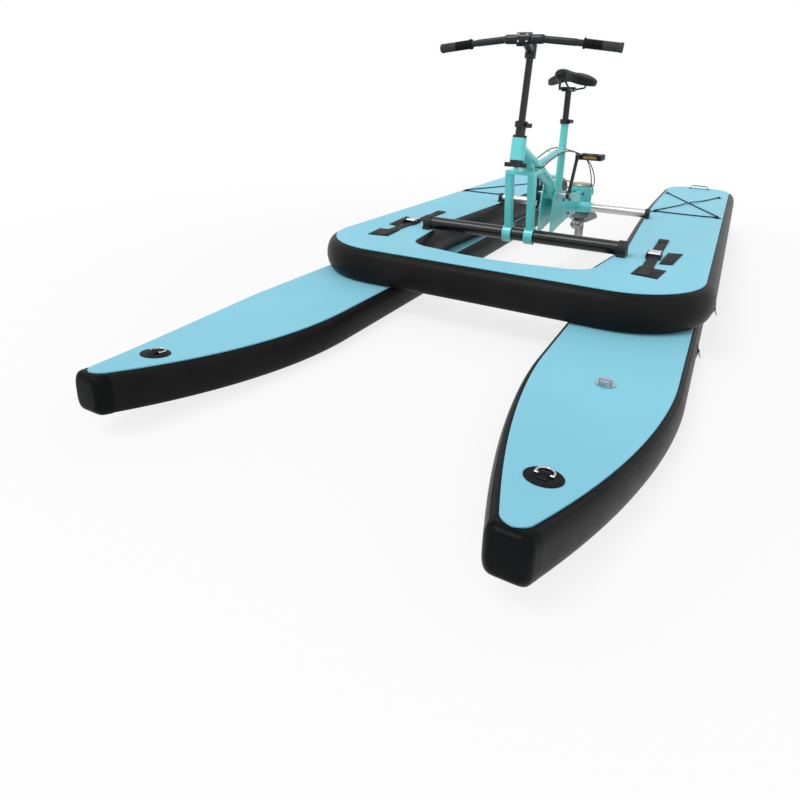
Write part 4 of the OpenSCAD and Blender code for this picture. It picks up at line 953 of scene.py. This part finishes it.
def saddle_section(y):
    """Half width, middle height and depth at a distance, smoothed between the sections."""
    s = SADDLE_SECTIONS
    i = max(0, min(len(s) - 2, next((k for k in range(len(s) - 1) if y <= s[k + 1][0]), len(s) - 2)))
    t = (y - s[i][0]) / (s[i + 1][0] - s[i][0])
    rows = [s[max(0, min(len(s) - 1, i + k))] for k in (-1, 0, 1, 2)]
    return [spline(a, b, c, d, t) for a, b, c, d in zip(*[r[1:] for r in rows])]


def saddle_height(x, y, share):
    """Height of the cover's upper or under side, where share is its part of the section's depth."""
    w, mid, deep = saddle_section(y)
    u = min(1.0, abs(x) / w)
    v = max(0.0, 1 - u ** (2 / SADDLE_POWER)) ** (SADDLE_POWER / 2)
    return SADDLE_Z + mid - SADDLE_DROOP * w * u * u + share * deep * v


def saddle_top(x, y):
    groove = 3.4 * math.exp(-(x / 8.5) ** 2) * max(0.0, min(1.0, (y - 90) / 50, (292 - y) / 30))
    return saddle_height(x, y, 0.3) - groove


def saddle_under(x, y):
    """The underside hangs lower towards its edges."""
    u = min(1.0, abs(x) / saddle_section(y)[0])
    return saddle_height(x, y, -0.5 - 0.35 * u * u)


def saddle_ring(y, ahead=0.0, size=1.0):
    """The cover's outline at a section, drawn in by size for the rounded ends."""
    w, mid, deep = saddle_section(y)
    ring = []
    for a in turns(56):
        x = w * squared(math.cos(a), SADDLE_POWER)
        z = saddle_top(x, y) if math.sin(a) >= 0 else saddle_under(x, y)
        ring.append((x * size, y + ahead, SADDLE_Z + mid + (z - SADDLE_Z - mid) * size))
    return ring


ENDS = [(6.0, 0.1), (5.6, 0.35), (4.4, 0.62), (2.4, 0.86), (1.0, 0.955)]
first, last = SADDLE_SECTIONS[0][0], SADDLE_SECTIONS[-1][0]
cover = Builder().rings([saddle_ring(first, -d, k) for d, k in ENDS]
                        + [saddle_ring(first + (last - first) * i / 54) for i in range(55)]
                        + [saddle_ring(last, d, k) for d, k in reversed(ENDS)]).add(
    "saddle_cover", SADDLE_SKIN, "black_rubber", body="seat", sharp=60)
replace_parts(cover, "saddle")
seam_lines = Builder()
for share in (-0.62, 0.62):
    line = [(x, y, saddle_top(x, y) + 0.15) for x, y in (
        (share * saddle_section(y)[0], y) for y in range(60, 292, 4))]
    seam_lines.tube(line, 0.8, 6)
    for step in (-3.2, 3.2):
        stitches(seam_lines, [(x + step, y, saddle_top(x + step, y)) for x, y, z in line], 3.2, 2.4, 0.3)
seam_lines.add("saddle_seams", THREAD, "black_rubber", body="seat")
rim = Builder()
rim_path = [(x, y, saddle_height(x, y, 0) - 0.5) for x, y in (
    (saddle_section(y)[0], y) for y in range(40, 302, 6))]
rim.tube([(-x, y, z) for x, y, z in rim_path][::-1] + rim_path, 1.5, 8)
rim.add("saddle_piping", BLACK_PLASTIC, "black_plastic", body="seat")


# Fasteners and small fittings
def screw(builder, place, radius, height):
    """A socket-headed screw on the Z axis of place."""
    builder.lathe([(radius * 0.96, 0), (radius, 0.3), (radius, height - 0.5), (radius * 0.86, height),
                   (radius * 0.52, height), (radius * 0.5, height * 0.45), (0.01, height * 0.4)], place, 24)


def on_stem(x, y, z):
    """A matrix at a point of the steering head's frame, with its axes."""
    return at(*head(x, y, z), Matrix.Rotation(-STEER_TILT, 4, "X"))


stem_bits = Builder()
for x in (-15, 15):
    for dz in (-11, 11):
        screw(stem_bits, on_stem(x, -STEM_REACH - 21, STEM_TOP + STEM_RISE + dz) @ turn(90, "X"), 3.6, 3.4)
for dz in (-22, -4):
    screw(stem_bits, on_stem(0, 19.6, STEM_TOP + dz) @ turn(-90, "X"), 3.4, 3.0)
stem_bits.add("stem_screws", STEEL, "steel", body="handlebar_post")
top_cap = Builder()
top_cap.lathe([(19.6, 0), (19.8, 1.2), (18.6, 2.8), (12, 3.4), (11, 2.6), (0.01, 2.6)],
              on_stem(0, 0, STEM_TOP + 10.1), 40)
top_cap.add("stem_top_cap", BLACK_SATIN, "black_paint", body="handlebar_post")

# Rippled weld beads where the frame's tubes meet
beads = Builder()
# Centre, axis, radius and size of each
WELDS = [((0, FRAME_FRONT_Y + 26, 476.5), (0, 203, -82), 24.6, 2.0),
         ((0, CRANK_Y - 15.5, CRANK_Z + 19), (0, 60, -60), 24.4, 2.0),
         ((0, SEAT_TUBE_Y, 540), (0, 0, 1), 17.3, 1.6), ((0, SEAT_TUBE_Y, 356), (0, 0, 1), 17.3, 1.6),
         ((0, SEAT_TUBE_Y - 17.4, 529.4), (0, 388, 38), 14.4, 1.6),
         ((-103.5, REAR_BAR_Y, 231.6), (1, 0, 0), 25.2, 0.9),
         ((103.5, REAR_BAR_Y, 231.6), (1, 0, 0), 25.2, 0.9)]
for centre, axis, radius, size in WELDS:
    place = pointing(Vector(centre), Vector(centre) + Vector(axis))
    points, radii = [], []
    for k, t in enumerate(turns(120)):
        points.append(place @ Vector((radius * math.cos(t), radius * math.sin(t), 0)))
        radii.append(size * (1 + 0.12 * math.sin(k * math.pi / 1.5)))
    beads.tube(points, radii, 8, closed=True)
beads.add("weld_beads", WELD, "turquoise_paint")

# Drive housing: cap screws and joint rings
CAP_Z, CAP_SCREW_R = 317.2, 46
housing_bits = Builder()
for k in range(6):
    t = math.radians(30 + 60 * k)
    screw(housing_bits, at(CAP_SCREW_R * math.cos(t), LEG_Y + CAP_SCREW_R * math.sin(t), CAP_Z), 2.35, 4.0)
housing_bits.add("housing_screws", STEEL, "steel")
seal = Builder()
for z, depth, half, flat in ((311.6, 0.9, 1.0, 0.8), (169, 1.0, 2.4, 2.0)):
    seal.lathe([(HOUSING_R + 0.05, -half), (HOUSING_R + depth, -flat), (HOUSING_R + depth, flat),
                (HOUSING_R + 0.05, half)], at(0, LEG_Y, z), 96)
seal.add("housing_seals", BLACK_SATIN, "black_plastic")

# Pedals: reflectors in the front and rear edges, and studs on the treads
CRANK_LEAN, PEDAL_X = math.radians(15), 151
for side, body in ((1, "port_pedal"), (-1, "starboard_pedal")):
    py = CRANK_Y + side * CRANK_L * math.sin(CRANK_LEAN)
    pz = CRANK_Z + side * CRANK_L * math.cos(CRANK_LEAN)
    middle = side * PEDAL_X
    lamps, studs = Builder(), Builder()
    for edge in (-1, 1):
        lamps.block((56, 2.6, 12), at(middle, py + edge * 42.7, pz), 0.7)
        for x in (-40, -6, 6, 40):
            for face in (-1, 1):
                stud = at(middle + x, py + edge * 37, pz + face * 11, turn(90 - 90 * face, "X"))
                studs.lathe([(2.2, 0), (2.0, 1.4), (1.6, 1.9), (0.01, 2.1)], stud, 12)
    lamps.add(body + "_reflectors", AMBER, "black_plastic", body=body)
    studs.add(body + "_studs", STEEL, "steel", body=body)

# Cable clips: a band round the top tube with an arm to each cable
clips = Builder()
tube_low, tube_high = Vector((0, FRAME_FRONT_Y - 10, 494)), Vector((0, SEAT_TUBE_Y, 532))
clip_y = PORT_CABLE[CLIP_AT][1]
band_at = tube_low.lerp(tube_high, (clip_y - tube_low.y) / (tube_high.y - tube_low.y))
clips.lathe([(13.9, -4), (15.2, -4), (15.2, 4), (13.9, 4)], pointing(band_at, tube_high), 40)
for route in (PORT_CABLE, STARBOARD_CABLE):
    a, b, c = (Vector(route[CLIP_AT + i]) for i in (-1, 0, 1))
    clips.lathe([(2.3, -3), (3.6, -2.8), (3.6, 2.8), (2.3, 3)], pointing(b, b + c - a), 20)
    side = math.copysign(1, b.x)
    clips.tube([(14.6 * side, clip_y, band_at.z), (b.x - 3 * side, clip_y, b.z - 1)], 1.6, 8)
clips.add("cable_clips", STEEL, "steel")

# Floor, light and camera
FLOOR_HALF, FLOOR_Z = 60, -0.0006
FADE = {"From_Min": 1.4, "From_Max": 3.4, "To_Min": 0.78, "To_Max": 1.0}
WHITE = (1, 1, 1, 1)
floor_mesh = bpy.data.meshes.new("floor")
floor_mesh.from_pydata([(x * FLOOR_HALF, y * FLOOR_HALF, FLOOR_Z)
                        for x, y in ((-1, -1), (1, -1), (1, 1), (-1, 1))], [], [(0, 1, 2, 3)])
placed("floor", floor_mesh)


def maths(tree, operation, a, b):
    made = new_node(tree, "ShaderNodeMath", operation=operation)
    tree.links.new(a, made.inputs[0])
    tree.links.new(b, made.inputs[1])
    return made.outputs[0]


def seen_directly(tree):
    """1 for rays that show the background: from the camera, in gloss and through glass."""
    rays = tree.nodes.new("ShaderNodeLightPath").outputs
    seen = maths(tree, "MAXIMUM", rays["Is Camera Ray"], rays["Is Glossy Ray"])
    return maths(tree, "MAXIMUM", seen, rays["Is Transmission Ray"])


def mixed(tree, fac, a, b, target):
    made = tree.nodes.new("ShaderNodeMixShader")
    for k, source in enumerate((fac, a, b)):
        tree.links.new(source, made.inputs[k])
    tree.links.new(made.outputs[0], target)


floor_material = bpy.data.materials.new("studio_floor")
floor_material.use_nodes = True
tree = floor_material.node_tree
tree.nodes.clear()
matt = new_node(tree, "ShaderNodeBsdfDiffuse", Color=(0.86, 0.86, 0.86, 1))
glow = new_node(tree, "ShaderNodeEmission", Color=WHITE)
output = tree.nodes.new("ShaderNodeOutputMaterial")
where = tree.nodes.new("ShaderNodeTexCoord")
distance = new_node(tree, "ShaderNodeVectorMath", operation="LENGTH")
fade = new_node(tree, "ShaderNodeMapRange", **FADE)
tree.links.new(where.outputs["Object"], distance.inputs[0])
tree.links.new(distance.outputs["Value"], fade.inputs["Value"])
share = maths(tree, "MULTIPLY", seen_directly(tree), fade.outputs["Result"])
mixed(tree, share, matt.outputs[0], glow.outputs[0], output.inputs["Surface"])
floor_mesh.materials.append(floor_material)

world = bpy.data.worlds.new("studio")
bpy.context.scene.world = world
world.use_nodes = True
tree = world.node_tree
tree.nodes.clear()
ambient = new_node(tree, "ShaderNodeBackground", Strength=0.72)
backdrop = new_node(tree, "ShaderNodeBackground", Color=WHITE, Strength=1.0)
output = tree.nodes.new("ShaderNodeOutputWorld")
mixed(tree, seen_directly(tree), ambient.outputs[0], backdrop.outputs[0], output.inputs["Surface"])


def sun(name, direction, strength, spread):
    data = bpy.data.lights.new(name, "SUN")
    data.energy = strength
    data.angle = math.radians(spread)
    lamp = placed(name, data)
    lamp.rotation_mode = "QUATERNION"
    lamp.rotation_quaternion = Vector(direction).to_track_quat("Z", "Y")


sun("key", (-0.35, -0.55, 1.0), 1.4, 30)
sun("fill", (0.9, -0.6, 0.55), 0.4, 60)

camera_data = bpy.data.cameras.new("camera")
for key, value in (("sensor_width", 36), ("lens", 27.44), ("shift_x", -0.001), ("shift_y", -0.1398),
                   ("clip_start", 0.05), ("clip_end", 200)):
    setattr(camera_data, key, value)
camera = placed("camera", camera_data)
CAMERA_AT = (0.7211, -2.6408, 0.8027)
YAW, PITCH, ROLL = 0.49483, 0.31682, -0.02835
forward = Vector((-math.sin(YAW) * math.cos(PITCH), math.cos(YAW) * math.cos(PITCH), -math.sin(PITCH)))
level = Vector((math.cos(YAW), math.sin(YAW), 0))
down = -level.cross(forward)
right = math.cos(ROLL) * level + math.sin(ROLL) * down
below = -math.sin(ROLL) * level + math.cos(ROLL) * down
basis = Matrix((right, -below, -forward)).transposed()
camera.matrix_world = Matrix.Translation(CAMERA_AT) @ basis.to_4x4()
bpy.context.scene.camera = camera
bpy.context.scene.view_settings.view_transform = "Standard"
